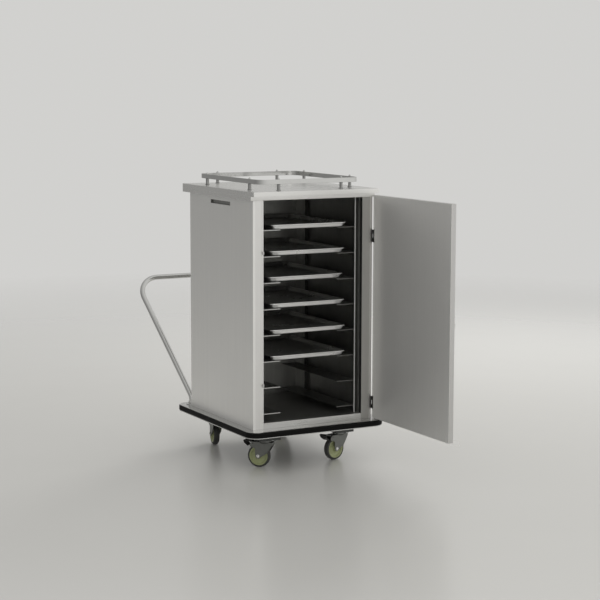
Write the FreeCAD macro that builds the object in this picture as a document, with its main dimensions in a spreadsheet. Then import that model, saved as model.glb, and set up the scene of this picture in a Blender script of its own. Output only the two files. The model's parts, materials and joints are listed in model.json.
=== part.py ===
"""A closed food service trolley: an insulated tray cabinet on a bumpered base with four braked casters.

Frame: millimetres, +Z up, floor at Z = 0, -Y is the front (door side), +X is the hinge side.
The door stands open at a right angle, which is the rest position.
"""

import FreeCAD, Part
import math
import os

import Sketcher

Vector = FreeCAD.Vector
Rotation = FreeCAD.Rotation
doc = FreeCAD.newDocument("FoodTrolley")

# ---------------------------------------------------------------- driving dimensions

DIMENSIONS = (
    ("cabinet_left", -360.0, "left face of the cabinet"),
    ("cabinet_front", -304.5, "front plane of the cabinet"),
    ("cabinet_width", 720.0, "outside width of the cabinet"),
    ("cabinet_depth", 772.0, "outside depth of the cabinet"),
    ("cabinet_bottom", 236.0, "underside of the cabinet above the floor"),
    ("cabinet_height", 1209.0, "underside of the cabinet to the lower edge of the lid"),
    ("side_wall", 62.0, "thickness of an insulated side wall"),
    ("back_wall", 22.0, "thickness of the insulated back wall"),
    ("sheet", 1.2, "steel sheet"),
    ("sill_height", 31.0, "front sill"),
    ("panel_hem", 14.0, "front return of a side panel"),
    ("opening_trim", 9.0, "folded edge of a front post"),
    ("lid_height", 46.0, "lid skirt at the sides and back"),
    ("lid_front_height", 24.5, "lid skirt at the front"),
    ("lid_side_reach", 16.0, "lid overhang at the sides"),
    ("lid_front_reach", 44.0, "lid overhang at the front"),
    ("lid_back_reach", 64.0, "lid overhang at the back"),
    ("lip_reach", 10.0, "door lip in front of the cabinet"),
    ("rail_inset", 56.0, "guard rail to the cabinet side"),
    ("rail_front", 39.0, "guard rail behind the cabinet front"),
    ("rail_back", 3.0, "guard rail behind the cabinet back"),
    ("rail_gap", 33.0, "clear height under the guard rail"),
    ("rail_height", 25.0, "height of the guard rail bar"),
    ("rail_bar", 5.0, "thickness of the guard rail bar"),
    ("rail_corner", 52.0, "corner radius of the guard rail"),
    ("rail_post_radius", 8.5, "guard rail post"),
    ("base_side", 54.0, "bumper beyond the cabinet sides"),
    ("base_front", 82.0, "bumper beyond the cabinet front"),
    ("base_back", 105.0, "bumper beyond the cabinet back"),
    ("base_corner", 70.0, "corner radius of the bumper"),
    ("base_top", 236.0, "top of the base above the floor"),
    ("base_height", 34.0, "height of the base pan skirt"),
    ("bumper_depth", 14.0, "thickness of the bumper strip"),
    ("bumper_proud", 4.0, "bumper beyond its channel lips"),
    ("caster_inset", 134.0, "swivel axis from the cabinet side"),
    ("caster_front", 117.0, "front swivel axis behind the cabinet front"),
    ("caster_back", 731.0, "back swivel axis behind the cabinet front"),
    ("caster_height", 158.0, "caster mounting height"),
    ("wheel_radius", 62.5, "caster wheel"),
    ("wheel_width", 34.0, "caster wheel"),
    ("wheel_trail", 35.0, "axle behind the swivel axis"),
    ("hub_radius", 52.0, "wheel hub rim"),
    ("fork_inside", 44.0, "clear width between the fork cheeks"),
    ("fork_sheet", 4.0, "fork cheek"),
    ("chassis_width", 110.0, "chassis rail"),
    ("slide_pitch", 139.7, "spacing of the tray slides"),
    ("first_slide", 71.5, "lowest slide above the cabinet underside"),
    ("slide_reach", 106.0, "width of a tray slide"),
    ("slide_start", 47.0, "front end of the slides behind the cabinet front"),
    ("slide_length", 650.0, "tray slide"),
    ("upright_width", 19.0, "rack upright"),
    ("upright_depth", 25.0, "rack upright"),
    ("tray_width", 465.0, "tray over its rim"),
    ("tray_length", 665.0, "tray over its rim"),
    ("tray_height", 25.0, "tray"),
    ("tray_flare", 14.0, "rim beyond the tray bottom"),
    ("tray_start", 52.0, "tray rim behind the cabinet front"),
    ("tray_sheet", 1.5, "tray aluminium"),
    ("door_width", 752.5, "door leaf"),
    ("door_thickness", 28.0, "door leaf"),
    ("door_rise", 9.0, "door top above the lower edge of the lid"),
    ("door_lift", 3.0, "door bottom above the cabinet underside"),
    ("door_overlap", 2.0, "hinge edge of the open door behind the hinge axis"),
    ("door_standoff", 12.0, "door inner face to the cabinet front, closed"),
    ("hinge_x", 4.0, "hinge axis beyond the cabinet side"),
    ("hinge_y", 16.0, "hinge axis in front of the cabinet"),
    ("knuckle_radius", 6.0, "hinge knuckle"),
    ("hinge_height", 68.0, "hinge"),
    ("notch_height", 76.0, "notch in the door edge for a hinge"),
    ("notch_depth", 10.0, "notch in the door edge for a hinge"),
    ("lower_hinge", 88.0, "lower hinge centre above the cabinet underside"),
    ("upper_hinge", 998.0, "upper hinge centre above the cabinet underside"),
    ("hinge_leaf", 1.5, "hinge leaf sheet"),
    ("pull_height", 599.0, "door pull above the cabinet underside"),
    ("lower_catch", 234.0, "lower catch above the cabinet underside"),
    ("upper_catch", 935.0, "upper catch above the cabinet underside"),
    ("handle_radius", 14.5, "push handle tube"),
    ("handle_wall", 2.0, "push handle tube"),
    ("handle_foot_inset", 19.0, "handle foot inside the cabinet side"),
    ("handle_foot_back", 38.0, "handle foot behind the cabinet back"),
    ("handle_splay", 95.0, "handle corner beyond the cabinet side"),
    ("handle_back", 579.0, "handle grip behind the cabinet back"),
    ("handle_top", 905.0, "handle grip above the floor"),
    ("handle_knee", 42.0, "lower bend above the base"),
)

sheet = doc.addObject("Spreadsheet::Sheet", "Sizes")
for row, (alias, number, note) in enumerate(DIMENSIONS, start=1):
    sheet.set(f"A{row}", note)
    sheet.set(f"B{row}", str(number))
    sheet.setAlias(f"B{row}", alias)
doc.recompute()


class Size:
    """A length worked out from the sheet: the formula that FreeCAD keeps, and its value now."""

    def __init__(self, formula, value):
        self.formula = formula
        self.value = value

    def joined(self, other, sign, value):
        formula = other.formula if isinstance(other, Size) else repr(float(other))
        return Size(f"({self.formula} {sign} {formula})", value)

    def __add__(self, other):
        return self.joined(other, "+", self.value + number(other))

    def __sub__(self, other):
        return self.joined(other, "-", self.value - number(other))

    def __rsub__(self, other):
        return -self + other

    def __mul__(self, other):
        return self.joined(other, "*", self.value * number(other))

    def __truediv__(self, other):
        return self.joined(other, "/", self.value / number(other))

    def __neg__(self):
        return Size(f"(0 - {self.formula})", -self.value)

    __radd__ = __add__
    __rmul__ = __mul__


def number(length):
    return length.value if isinstance(length, Size) else float(length)


def size(alias):
    return Size(f"Sizes.{alias}", float(sheet.get(alias)))


LEFT = size("cabinet_left")
FRONT = size("cabinet_front")
WIDTH = size("cabinet_width")
DEPTH = size("cabinet_depth")
BOTTOM = size("cabinet_bottom")
RIGHT = LEFT + WIDTH
BACK = FRONT + DEPTH
TOP = BOTTOM + size("cabinet_height")
LID_TOP = TOP + size("lid_height")
MIDDLE_X = LEFT + WIDTH / 2
SHEET = size("sheet")
SIDE_WALL = size("side_wall")
INNER_LEFT = LEFT + SIDE_WALL
INNER_RIGHT = RIGHT - SIDE_WALL
INNER_BACK = BACK - size("back_wall")
BASE_TOP = size("base_top")
HINGE_X = RIGHT + size("hinge_x")
HINGE_Y = FRONT - size("hinge_y")

# ---------------------------------------------------------------- small modelling helpers

FINISHED = []


def finish(feature, label):
    """Names a finished sub-part; its label is also its file name."""
    feature.Label = label
    FINISHED.append(feature)
    return feature


def bind(feature, prop, length):
    if isinstance(length, Size):
        feature.setExpression(prop, length.formula)
    else:
        setattr(feature, prop, length)


def place(feature, x, y, z, rotation=None):
    """Sets a Placement whose position follows the sheet."""
    feature.Placement = FreeCAD.Placement(Vector(number(x), number(y), number(z)), rotation or Rotation())
    for axis, length in (("x", x), ("y", y), ("z", z)):
        if isinstance(length, Size):
            feature.setExpression(f"Placement.Base.{axis}", length.formula)


def box(name, x, y, z, dx, dy, dz):
    """A block from its low corner and its three sizes."""
    block = doc.addObject("Part::Box", name)
    bind(block, "Length", dx)
    bind(block, "Width", dy)
    bind(block, "Height", dz)
    place(block, x, y, z)
    return block


AXES = {
    "x": Rotation(Vector(0, 1, 0), 90),
    "y": Rotation(Vector(1, 0, 0), -90),
    "z": Rotation(),
}


def cylinder(name, x, y, z, radius, height, axis="z"):
    """A round bar that starts at x, y, z and runs along the positive axis."""
    bar = doc.addObject("Part::Cylinder", name)
    bind(bar, "Radius", radius)
    bind(bar, "Height", height)
    place(bar, x, y, z, AXES[axis])
    return bar


def prism(name, x, y, z, radius, height, sides=6):
    """A regular nut or bolt head that stands along +Z."""
    head = doc.addObject("Part::Prism", name)
    head.Polygon = sides
    bind(head, "Circumradius", radius)
    bind(head, "Height", height)
    place(head, x, y, z)
    return head


def sphere_cap(name, x, y, z, radius):
    """The upper half of a ball."""
    dome = doc.addObject("Part::Sphere", name)
    bind(dome, "Radius", radius)
    dome.Angle1 = 0
    place(dome, x, y, z)
    return dome


def fuse(name, pieces):
    joined = doc.addObject("Part::MultiFuse", name)
    joined.Shapes = pieces
    joined.Refine = True
    return joined


def cut(name, base, tools):
    """Takes one or more tools out of a base shape."""
    tool = tools[0] if len(tools) == 1 else fuse(f"{name}_tools", tools)
    carved = doc.addObject("Part::Cut", name)
    carved.Base = base
    carved.Tool = tool
    return carved


def group(name, pieces):
    """Keeps identical pieces together as separate solids."""
    gathered = doc.addObject("Part::Compound", name)
    gathered.Links = pieces
    return gathered


def new_body(name, x, y, z, rotation=None):
    body = doc.addObject("PartDesign::Body", name)
    place(body, x, y, z, rotation)
    return body


def sketch_on(body, name, plane="XY_Plane", lift=0.0):
    """A sketch on one of the body's own origin planes, moved along the plane's normal."""
    sketch = body.newObject("Sketcher::SketchObject", name)
    origin_plane = [f for f in body.Origin.OriginFeatures if f.Role == plane][0]
    sketch.AttachmentSupport = (origin_plane, [""])
    sketch.MapMode = "FlatFace"
    if isinstance(lift, Size):
        sketch.setExpression("AttachmentOffset.Base.z", lift.formula)
    elif lift:
        sketch.AttachmentOffset = FreeCAD.Placement(Vector(0, 0, lift), Rotation())
    return sketch


def dimension(sketch, name, kind, *where_and_length):
    """Adds one driving dimension that follows the sheet."""
    *where, length = where_and_length
    index = sketch.addConstraint(Sketcher.Constraint(kind, *where, number(length)))
    if isinstance(length, Size):
        sketch.renameConstraint(index, name)
        sketch.setExpression(f"Constraints.{name}", length.formula)


def outline(sketch, points):
    """A closed outline of straight lines through points given as (across, up)."""
    corners = [Vector(number(across), number(up), 0) for across, up in points]
    count = len(corners)
    first = sketch.GeometryCount
    for i in range(count):
        sketch.addGeometry(Part.LineSegment(corners[i], corners[(i + 1) % count]), False)
    for i in range(count):
        sketch.addConstraint(
            Sketcher.Constraint("Coincident", first + i, 2, first + (i + 1) % count, 1)
        )
    for i, (across, up) in enumerate(points):
        dimension(sketch, f"across{first + i}", "DistanceX", -1, 1, first + i, 1, across)
        dimension(sketch, f"up{first + i}", "DistanceY", -1, 1, first + i, 1, up)


def circle(sketch, across, up, radius):
    centre = Vector(number(across), number(up), 0)
    index = sketch.addGeometry(Part.Circle(centre, Vector(0, 0, 1), number(radius)), False)
    dimension(sketch, f"radius{index}", "Radius", index, radius)
    dimension(sketch, f"across{index}", "DistanceX", -1, 1, index, 3, across)
    dimension(sketch, f"up{index}", "DistanceY", -1, 1, index, 3, up)


def rounded_rectangle(sketch, width, depth, radius):
    """A rectangle with four equal round corners, centred on the sketch's origin."""
    half_w = number(width) / 2
    half_d = number(depth) / 2
    r = number(radius)
    first = sketch.GeometryCount
    lines = (
        (-half_w + r, -half_d, half_w - r, -half_d),
        (half_w, -half_d + r, half_w, half_d - r),
        (half_w - r, half_d, -half_w + r, half_d),
        (-half_w, half_d - r, -half_w, -half_d + r),
    )
    for x0, y0, x1, y1 in lines:
        sketch.addGeometry(Part.LineSegment(Vector(x0, y0, 0), Vector(x1, y1, 0)), False)
    centres = (
        (half_w - r, -half_d + r),
        (half_w - r, half_d - r),
        (-half_w + r, half_d - r),
        (-half_w + r, -half_d + r),
    )
    for i, (x, y) in enumerate(centres):
        start = (i - 1) * math.pi / 2
        corner = Part.Circle(Vector(x, y, 0), Vector(0, 0, 1), r)
        sketch.addGeometry(Part.ArcOfCircle(corner, start, start + math.pi / 2), False)
    for i in range(4):
        line, arc, following = first + i, first + 4 + i, first + (i + 1) % 4
        sketch.addConstraint(Sketcher.Constraint("Tangent", line, 2, arc, 1))
        sketch.addConstraint(Sketcher.Constraint("Tangent", arc, 2, following, 1))
        sketch.addConstraint(Sketcher.Constraint("Vertical" if i % 2 else "Horizontal", line))
        if i:
            sketch.addConstraint(Sketcher.Constraint("Equal", first + 4, arc))
    sketch.addConstraint(Sketcher.Constraint("Symmetric", first + 4, 3, first + 6, 3, -1, 1))
    dimension(sketch, f"corner{first}", "Radius", first + 4, radius)
    dimension(sketch, f"width{first}", "DistanceX", first + 3, 1, first + 1, 1, width)
    dimension(sketch, f"depth{first}", "DistanceY", first, 1, first + 2, 1, depth)


def pad(body, sketch, length, midplane=False, backwards=False):
    feature = body.newObject("PartDesign::Pad", f"{sketch.Name}_pad")
    feature.Profile = sketch
    bind(feature, "Length", length)
    feature.Midplane = midplane
    feature.Reversed = backwards
    sketch.Visibility = False
    return feature


def pocket(body, sketch, length, midplane=False, forwards=False):
    feature = body.newObject("PartDesign::Pocket", f"{sketch.Name}_pocket")
    feature.Profile = sketch
    bind(feature, "Length", length)
    feature.Midplane = midplane
    feature.Reversed = forwards
    sketch.Visibility = False
    return feature


def revolve(body, sketch, axis="V_Axis"):
    feature = body.newObject("PartDesign::Revolution", f"{sketch.Name}_turned")
    feature.Profile = sketch
    feature.ReferenceAxis = (sketch, [axis])
    feature.Angle = 360
    sketch.Visibility = False
    return feature


def round_edges(body, radius, test):
    """Rounds the edges of the body's latest feature that pass a test on the edge."""
    doc.recompute()
    tip = body.Tip
    names = [f"Edge{i}" for i, edge in enumerate(tip.Shape.Edges, start=1) if test(edge)]
    fillet = body.newObject("PartDesign::Fillet", f"{tip.Name}_round")
    fillet.Base = (tip, names)
    bind(fillet, "Radius", radius)
    return fillet


def along(edge, axis):
    """True for a straight edge that runs along the given axis."""
    if not isinstance(edge.Curve, Part.Line):
        return False
    return abs(edge.Curve.Direction.dot(axis)) > 0.999


# ---------------------------------------------------------------- base

BASE_WIDTH = WIDTH + size("base_side") * 2
BASE_LENGTH = DEPTH + size("base_front") + size("base_back")
BASE_X = MIDDLE_X
BASE_Y = FRONT - size("base_front") + BASE_LENGTH / 2
BASE_BOTTOM = BASE_TOP - size("base_height")
BUMPER = size("bumper_depth")
CORNER = size("base_corner")


def ring(name, label, z, height, outer_inset, inner_inset):
    """A band that follows the rounded base, between two insets from the bumper's outer face."""
    body = new_body(name, BASE_X, BASE_Y, z)
    outer = sketch_on(body, f"{name}_outer")
    rounded_rectangle(
        outer, BASE_WIDTH - outer_inset * 2, BASE_LENGTH - outer_inset * 2, CORNER - outer_inset
    )
    pad(body, outer, height)
    inner = sketch_on(body, f"{name}_inner")
    rounded_rectangle(
        inner, BASE_WIDTH - inner_inset * 2, BASE_LENGTH - inner_inset * 2, CORNER - inner_inset
    )
    pocket(body, inner, height, forwards=True)
    return finish(body, label) if label else body


def base_pan():
    """The deck: a shallow pan turned upside down."""
    inset = BUMPER + SHEET
    body = new_body("BasePan", BASE_X, BASE_Y, BASE_BOTTOM)
    outer = sketch_on(body, "BasePan_outer")
    rounded_rectangle(outer, BASE_WIDTH - inset * 2, BASE_LENGTH - inset * 2, CORNER - inset)
    pad(body, outer, size("base_height"))
    hollow = sketch_on(body, "BasePan_hollow")
    inner = inset + SHEET
    rounded_rectangle(hollow, BASE_WIDTH - inner * 2, BASE_LENGTH - inner * 2, CORNER - inner)
    pocket(body, hollow, size("base_height") - SHEET, forwards=True)
    finish(body, "base_pan")


def bumper():
    """The steel channel around the base and the rubber strip that it holds."""
    proud = size("bumper_proud")
    web = ring("ChannelWeb", None, BASE_BOTTOM, size("base_height"), BUMPER, BUMPER + SHEET)
    upper = ring("ChannelUpper", None, BASE_TOP - SHEET, SHEET, proud, BUMPER)
    lower = ring("ChannelLower", None, BASE_BOTTOM, SHEET, proud, BUMPER)
    finish(fuse("BumperChannel", [web, upper, lower]), "bumper_channel")
    strip = ring(
        "BumperStrip", None, BASE_BOTTOM + SHEET, size("base_height") - SHEET * 2, 0.0, BUMPER
    )
    round_edges(strip, 3.0, lambda edge: outer_rim(edge))
    finish(strip, "bumper_strip")


def outer_rim(edge):
    """True for an edge around the outer face of the bumper strip, at its top or bottom."""
    middle = edge.CenterOfMass
    half_width = number(BASE_WIDTH) / 2
    half_length = number(BASE_LENGTH) / 2
    if along(edge, Vector(0, 0, 1)):
        return False
    on_side = abs(abs(middle.x) - half_width) < 0.1 or abs(abs(middle.y) - half_length) < 0.1
    radius = getattr(edge.Curve, "Radius", 0.0)
    return on_side or abs(radius - number(CORNER)) < 0.1


def chassis():
    """Two capped box rails under the base carry the casters; two cross tubes join them."""
    rail_height = BASE_TOP - SHEET - size("caster_height")
    rail_start = FRONT + size("caster_front") - 70.0
    rail_length = size("caster_back") - size("caster_front") + 140.0
    wall = 3.0
    rails = []
    for side, axis_x in (("Left", LEFT + size("caster_inset")), ("Right", RIGHT - size("caster_inset"))):
        low_x = axis_x - size("chassis_width") / 2
        outside = box(f"Chassis{side}Outside", low_x, rail_start, size("caster_height"),
                      size("chassis_width"), rail_length, rail_height)
        tools = [
            box(f"Chassis{side}Inside", low_x + wall, rail_start + wall, size("caster_height") + wall,
                size("chassis_width") - 2 * wall, rail_length - 2 * wall, rail_height - 2 * wall)
        ]
        for end in ("front", "back"):
            axis_y = FRONT + size(f"caster_{end}")
            for i, (dx, dy) in enumerate(BOLT_PLACES):
                tools.append(
                    cylinder(f"Chassis{side}{end}Hole{i}", axis_x + dx, axis_y + dy,
                             size("caster_height") - 1, 4.5, wall + 2)
                )
        rails.append(cut(f"Chassis{side}", outside, tools))
    start_x = LEFT + size("caster_inset") + size("chassis_width") / 2
    span = WIDTH - size("caster_inset") * 2 - size("chassis_width")
    for i, offset in enumerate((120.0, 560.0)):
        outside = box(f"CrossOutside{i}", start_x, FRONT + offset, BASE_TOP - SHEET - 40, span, 40, 40)
        inside = box(f"CrossInside{i}", start_x - 1, FRONT + offset + 3, BASE_TOP - SHEET - 37,
                     span + 2, 34, 34)
        rails.append(cut(f"CrossTube{i}", outside, [inside]))
    finish(group("ChassisRails", rails), "chassis_rails")


# ---------------------------------------------------------------- casters

BOLT_PLACES = ((-40.0, -32.0), (40.0, -32.0), (-40.0, 32.0), (40.0, 32.0))
CASTERS = (
    ("front_left", "caster_front", -1, 134.0),
    ("front_right", "caster_front", 1, -167.0),
    ("back_left", "caster_back", -1, 77.0),
    ("back_right", "caster_back", 1, 100.0),
)
PLATE = 5.0
RACE_BOTTOM = 140.3
FORK_TOP = 140.0
FORK_WEB = 6.0
KING_PIN = 6.0
AXLE = 6.0
PEDAL_PIVOT = (64.0, 132.0)


def caster_axis(end, side):
    inset = size("caster_inset")
    x = LEFT + inset if side < 0 else RIGHT - inset
    return x, FRONT + size(end)


def caster_plates():
    """Each plate carries its upper bearing race and a headed king pin."""
    plates = []
    bolts = []
    for name, end, side, _ in CASTERS:
        x, y = caster_axis(end, side)
        z = size("caster_height") - PLATE
        slab = box(f"Plate_{name}", x - 52, y - 44, z, 104, 88, PLATE)
        race = cylinder(f"Race_{name}", x, y, RACE_BOTTOM, 33, z - RACE_BOTTOM)
        pin = cylinder(f"KingPin_{name}", x, y, FORK_TOP - FORK_WEB - 0.3, KING_PIN, 7.5)
        head = cylinder(f"KingPinHead_{name}", x, y, FORK_TOP - FORK_WEB - 6.3, 10, 6)
        solid = fuse(f"PlateSolid_{name}", [slab, race, pin, head])
        holes = []
        for i, (dx, dy) in enumerate(BOLT_PLACES):
            holes.append(cylinder(f"PlateHole_{name}{i}", x + dx, y + dy, z - 1, 4.5, PLATE + 2))
            shank = cylinder(f"BoltShank_{name}{i}", x + dx, y + dy, z - 0.5, 4, PLATE + 9)
            hexagon = prism(f"BoltHead_{name}{i}", x + dx, y + dy, z - 5.5, 6.5, 5.5)
            nut = prism(f"BoltNut_{name}{i}", x + dx, y + dy, z + PLATE + 3, 6.5, 5)
            bolts.append(fuse(f"Bolt_{name}{i}", [shank, hexagon, nut]))
        plates.append(cut(f"TopPlate_{name}", solid, holes))
    finish(group("CasterTopPlates", plates), "caster_top_plates")
    finish(group("CasterBolts", bolts), "caster_bolts")


def caster_body(name, part, end, side, angle):
    """A body whose origin is on the floor under the swivel axis and whose +X points to the axle."""
    x, y = caster_axis(end, side)
    return new_body(f"{part}_{name}", x, y, 0.0, Rotation(Vector(0, 0, 1), angle))


def fork(name, end, side, angle):
    body = caster_body(name, "Fork", end, side, angle)
    trail = size("wheel_trail")
    axle_z = size("wheel_radius")
    profile = sketch_on(body, f"Fork_{name}_cheek", "XZ_Plane")
    outline(
        profile,
        (
            (-46.0, FORK_TOP),
            (-45.0, axle_z + 66),
            (-32.0, axle_z + 43),
            (-16.0, axle_z + 18),
            (trail - 13, axle_z - 7),
            (trail - 7, axle_z - 13),
            (trail + 7, axle_z - 13),
            (trail + 15, axle_z - 3),
            (trail + 16, axle_z + 42),
            (trail + 45, axle_z + 51),
            (trail + 46, axle_z + 65),
            (trail + 34, FORK_TOP),
        ),
    )
    pad(body, profile, size("fork_inside") + size("fork_sheet") * 2, midplane=True)
    hollow = sketch_on(body, f"Fork_{name}_hollow", "XZ_Plane")
    outline(
        hollow,
        (
            (-40.0, -5.0),
            (trail + 60, -5.0),
            (trail + 60, FORK_TOP + 5),
            (trail + 15, FORK_TOP + 5),
            (trail + 15, FORK_TOP - FORK_WEB),
            (-40.0, FORK_TOP - FORK_WEB),
        ),
    )
    pocket(body, hollow, size("fork_inside"), midplane=True)
    pin_hole = sketch_on(body, f"Fork_{name}_pinhole")
    circle(pin_hole, 0.0, 0.0, KING_PIN + 0.05)
    pocket(body, pin_hole, 150, forwards=True)
    cross_holes = sketch_on(body, f"Fork_{name}_crossholes", "XZ_Plane")
    circle(cross_holes, trail, axle_z, AXLE)
    circle(cross_holes, PEDAL_PIVOT[0], PEDAL_PIVOT[1], 3.05)
    pocket(body, cross_holes, 80, midplane=True)
    finish(body, f"fork_{name}")


def wheel(name, end, side, angle):
    """A rubber tyre pressed on a dished nylon hub; both turn on the axle."""
    half = size("wheel_width") / 2
    rim = size("hub_radius")
    radius = size("wheel_radius")
    x, y = caster_axis(end, side)
    heading = math.radians(angle)
    trail = size("wheel_trail")
    axle_x = x + trail * math.cos(heading)
    axle_y = y + trail * math.sin(heading)
    turned = Rotation(Vector(0, 0, 1), angle)
    tyre = new_body(f"Tyre_{name}", axle_x, axle_y, radius, turned)
    section = sketch_on(tyre, f"Tyre_{name}_section", "YZ_Plane")
    outline(
        section,
        (
            (-half, rim),
            (half, rim),
            (half, radius - 5),
            (half - 3, radius - 1.5),
            (half - 9, radius),
            (9 - half, radius),
            (3 - half, radius - 1.5),
            (-half, radius - 5),
        ),
    )
    revolve(tyre, section, "H_Axis")
    finish(tyre, f"tyre_{name}")
    hub = new_body(f"Hub_{name}", axle_x, axle_y, radius, turned)
    section = sketch_on(hub, f"Hub_{name}_section", "YZ_Plane")
    boss = size("fork_inside") / 2 - 0.5
    bore = AXLE + 0.05
    outline(
        section,
        (
            (-boss, bore),
            (boss, bore),
            (boss, 14.0),
            (8.0, 17.0),
            (6.0, 40.0),
            (half - 2, 45.0),
            (half - 2, rim),
            (2 - half, rim),
            (2 - half, 45.0),
            (-6.0, 40.0),
            (-8.0, 17.0),
            (-boss, 14.0),
        ),
    )
    revolve(hub, section, "H_Axis")
    finish(hub, f"hub_{name}")


def axle(name, end, side, angle):
    """A bolt through the fork with a hexagon head at one end and a domed nut at the other."""
    body = caster_body(name, "Axle", end, side, angle)
    trail = size("wheel_trail")
    axle_z = size("wheel_radius")
    outside = size("fork_inside") / 2 + size("fork_sheet")
    shank = sketch_on(body, f"Axle_{name}_shank", "XZ_Plane")
    circle(shank, trail, axle_z, AXLE)
    pad(body, shank, outside * 2, midplane=True)
    for end_name, lift in (("near", outside), ("far", -outside)):
        face = sketch_on(body, f"Axle_{name}_{end_name}", "XZ_Plane", lift)
        circle(face, trail, axle_z, 9.0)
        pad(body, face, 7.0, backwards=end_name == "far")
    finish(body, f"axle_{name}")


def pedal(name, end, side, angle):
    """The brake pedal: a hooked plate on a pivot tube between the fork cheeks."""
    body = caster_body(name, "Pedal", end, side, angle)
    px, pz = PEDAL_PIVOT
    plate = sketch_on(body, f"Pedal_{name}_plate", "XZ_Plane")
    outline(
        plate,
        (
            (px + 10, pz + 10),
            (112.0, 149.0),
            (119.0, 144.0),
            (112.0, 130.0),
            (93.0, 115.0),
            (91.0, 118.0),
            (109.0, 132.0),
            (115.0, 143.0),
            (111.0, 145.5),
            (px + 11, pz + 6),
        ),
    )
    pad(body, plate, 50.0, midplane=True)
    arm = sketch_on(body, f"Pedal_{name}_arm", "XZ_Plane")
    outline(
        arm,
        (
            (px - 3, pz + 2),
            (px + 3, pz - 3),
            (px + 14, pz + 6.5),
            (px + 14, pz + 10),
            (px + 8, pz + 9.5),
        ),
    )
    pad(body, arm, 30.0, midplane=True)
    tube = sketch_on(body, f"Pedal_{name}_tube", "XZ_Plane")
    circle(tube, px, pz, 5.0)
    pad(body, tube, size("fork_inside") - 1, midplane=True)
    pin = sketch_on(body, f"Pedal_{name}_pin", "XZ_Plane")
    circle(pin, px, pz, 3.0)
    pad(body, pin, size("fork_inside") + size("fork_sheet") * 2, midplane=True)
    finish(body, f"brake_pedal_{name}")


# ---------------------------------------------------------------- cabinet

WALL_TOP = LID_TOP - SHEET
WALL_HEIGHT = WALL_TOP - BOTTOM


def side_panels():
    """Outer side sheets with a front hem; the left one has the hand slot."""
    hem = size("panel_hem")
    slot_width, slot_height, slot_below_lid = 240.0, 20.0, 22.0
    slot_z = TOP - slot_below_lid - slot_height
    slot_y = FRONT + DEPTH / 2 - slot_width / 2
    for side, label in ((-1, "left_side_panel"), (1, "right_side_panel")):
        name = "LeftPanel" if side < 0 else "RightPanel"
        x = LEFT if side < 0 else RIGHT - SHEET
        hem_x = LEFT if side < 0 else RIGHT - hem
        skin = box(f"{name}Skin", x, FRONT, BOTTOM, SHEET, DEPTH, WALL_HEIGHT)
        fold = box(f"{name}Hem", hem_x, FRONT - SHEET, BOTTOM, hem, SHEET, TOP - BOTTOM)
        corner = box(f"{name}Corner", x, FRONT - SHEET, BOTTOM, SHEET, SHEET * 2, TOP - BOTTOM)
        solid = fuse(f"{name}Solid", [skin, fold, corner])
        if side < 0:
            slot = box(f"{name}Slot", x - 1, slot_y, slot_z, SHEET + 2, slot_width, slot_height)
            solid = cut(f"{name}Carved", solid, [slot])
        finish(solid, label)
    cup_depth = 14.0
    cup = box("SlotCupOutside", LEFT + SHEET, slot_y - 3, slot_z - 3, cup_depth, slot_width + 6,
              slot_height + 6)
    hollow = box("SlotCupInside", LEFT + SHEET - 1, slot_y, slot_z, cup_depth - 1, slot_width, slot_height)
    finish(cut("SlotCup", cup, [hollow]), "hand_slot_cup")


def back_panel():
    finish(
        box("BackPanel", LEFT + SHEET, BACK - SHEET, BOTTOM, WIDTH - SHEET * 2, SHEET, WALL_HEIGHT),
        "back_panel",
    )


POST_TRIM = 1.5


def front_posts():
    """Folded posts either side of the opening: a face, an inner return and a raised edge trim."""
    trim = size("opening_trim")
    for side, label in ((-1, "left_front_post"), (1, "right_front_post")):
        name = "LeftPost" if side < 0 else "RightPost"
        face_x = LEFT + SHEET if side < 0 else INNER_RIGHT
        return_x = INNER_LEFT - SHEET if side < 0 else INNER_RIGHT
        trim_x = INNER_LEFT - trim if side < 0 else INNER_RIGHT
        face = box(f"{name}Face", face_x, FRONT, BOTTOM, SIDE_WALL - SHEET, SHEET, TOP - BOTTOM)
        inner = box(f"{name}Return", return_x, FRONT, BOTTOM, SHEET, 24.0, TOP - BOTTOM)
        edge = box(f"{name}Trim", trim_x, FRONT - POST_TRIM, BOTTOM + size("sill_height"), trim,
                   POST_TRIM + 1, TOP - BOTTOM - size("sill_height"))
        finish(fuse(name, [face, inner, edge]), label)


def front_sill_and_header():
    span = WIDTH - SIDE_WALL * 2
    sill_face = box("SillFace", INNER_LEFT, FRONT, BOTTOM, span, SHEET, size("sill_height"))
    sill_top = box("SillTop", INNER_LEFT, FRONT, BOTTOM + size("sill_height") - SHEET, span, 24.0, SHEET)
    finish(fuse("Sill", [sill_face, sill_top]), "front_sill")
    header_face = box("HeaderFace", LEFT + SHEET, FRONT, TOP, WIDTH - SHEET * 2, SHEET, WALL_TOP - TOP)
    header_under = box("HeaderUnder", INNER_LEFT, FRONT, TOP, span, 24.0, SHEET)
    finish(fuse("Header", [header_face, header_under]), "front_header")


def liner():
    """The inner shell: two sides, back, floor and ceiling in one piece, open at the front."""
    start_y = FRONT + 24.0
    floor = BOTTOM + size("sill_height") - SHEET
    outside = box("LinerOutside", INNER_LEFT - SHEET, start_y, floor, WIDTH - SIDE_WALL * 2 + SHEET * 2,
                  INNER_BACK - start_y + SHEET, TOP - floor + SHEET)
    inside = box("LinerInside", INNER_LEFT, start_y - 1, floor + SHEET, WIDTH - SIDE_WALL * 2,
                 INNER_BACK - start_y + 1, TOP - floor - SHEET)
    finish(cut("Liner", outside, [inside]), "inner_liner")


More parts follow.
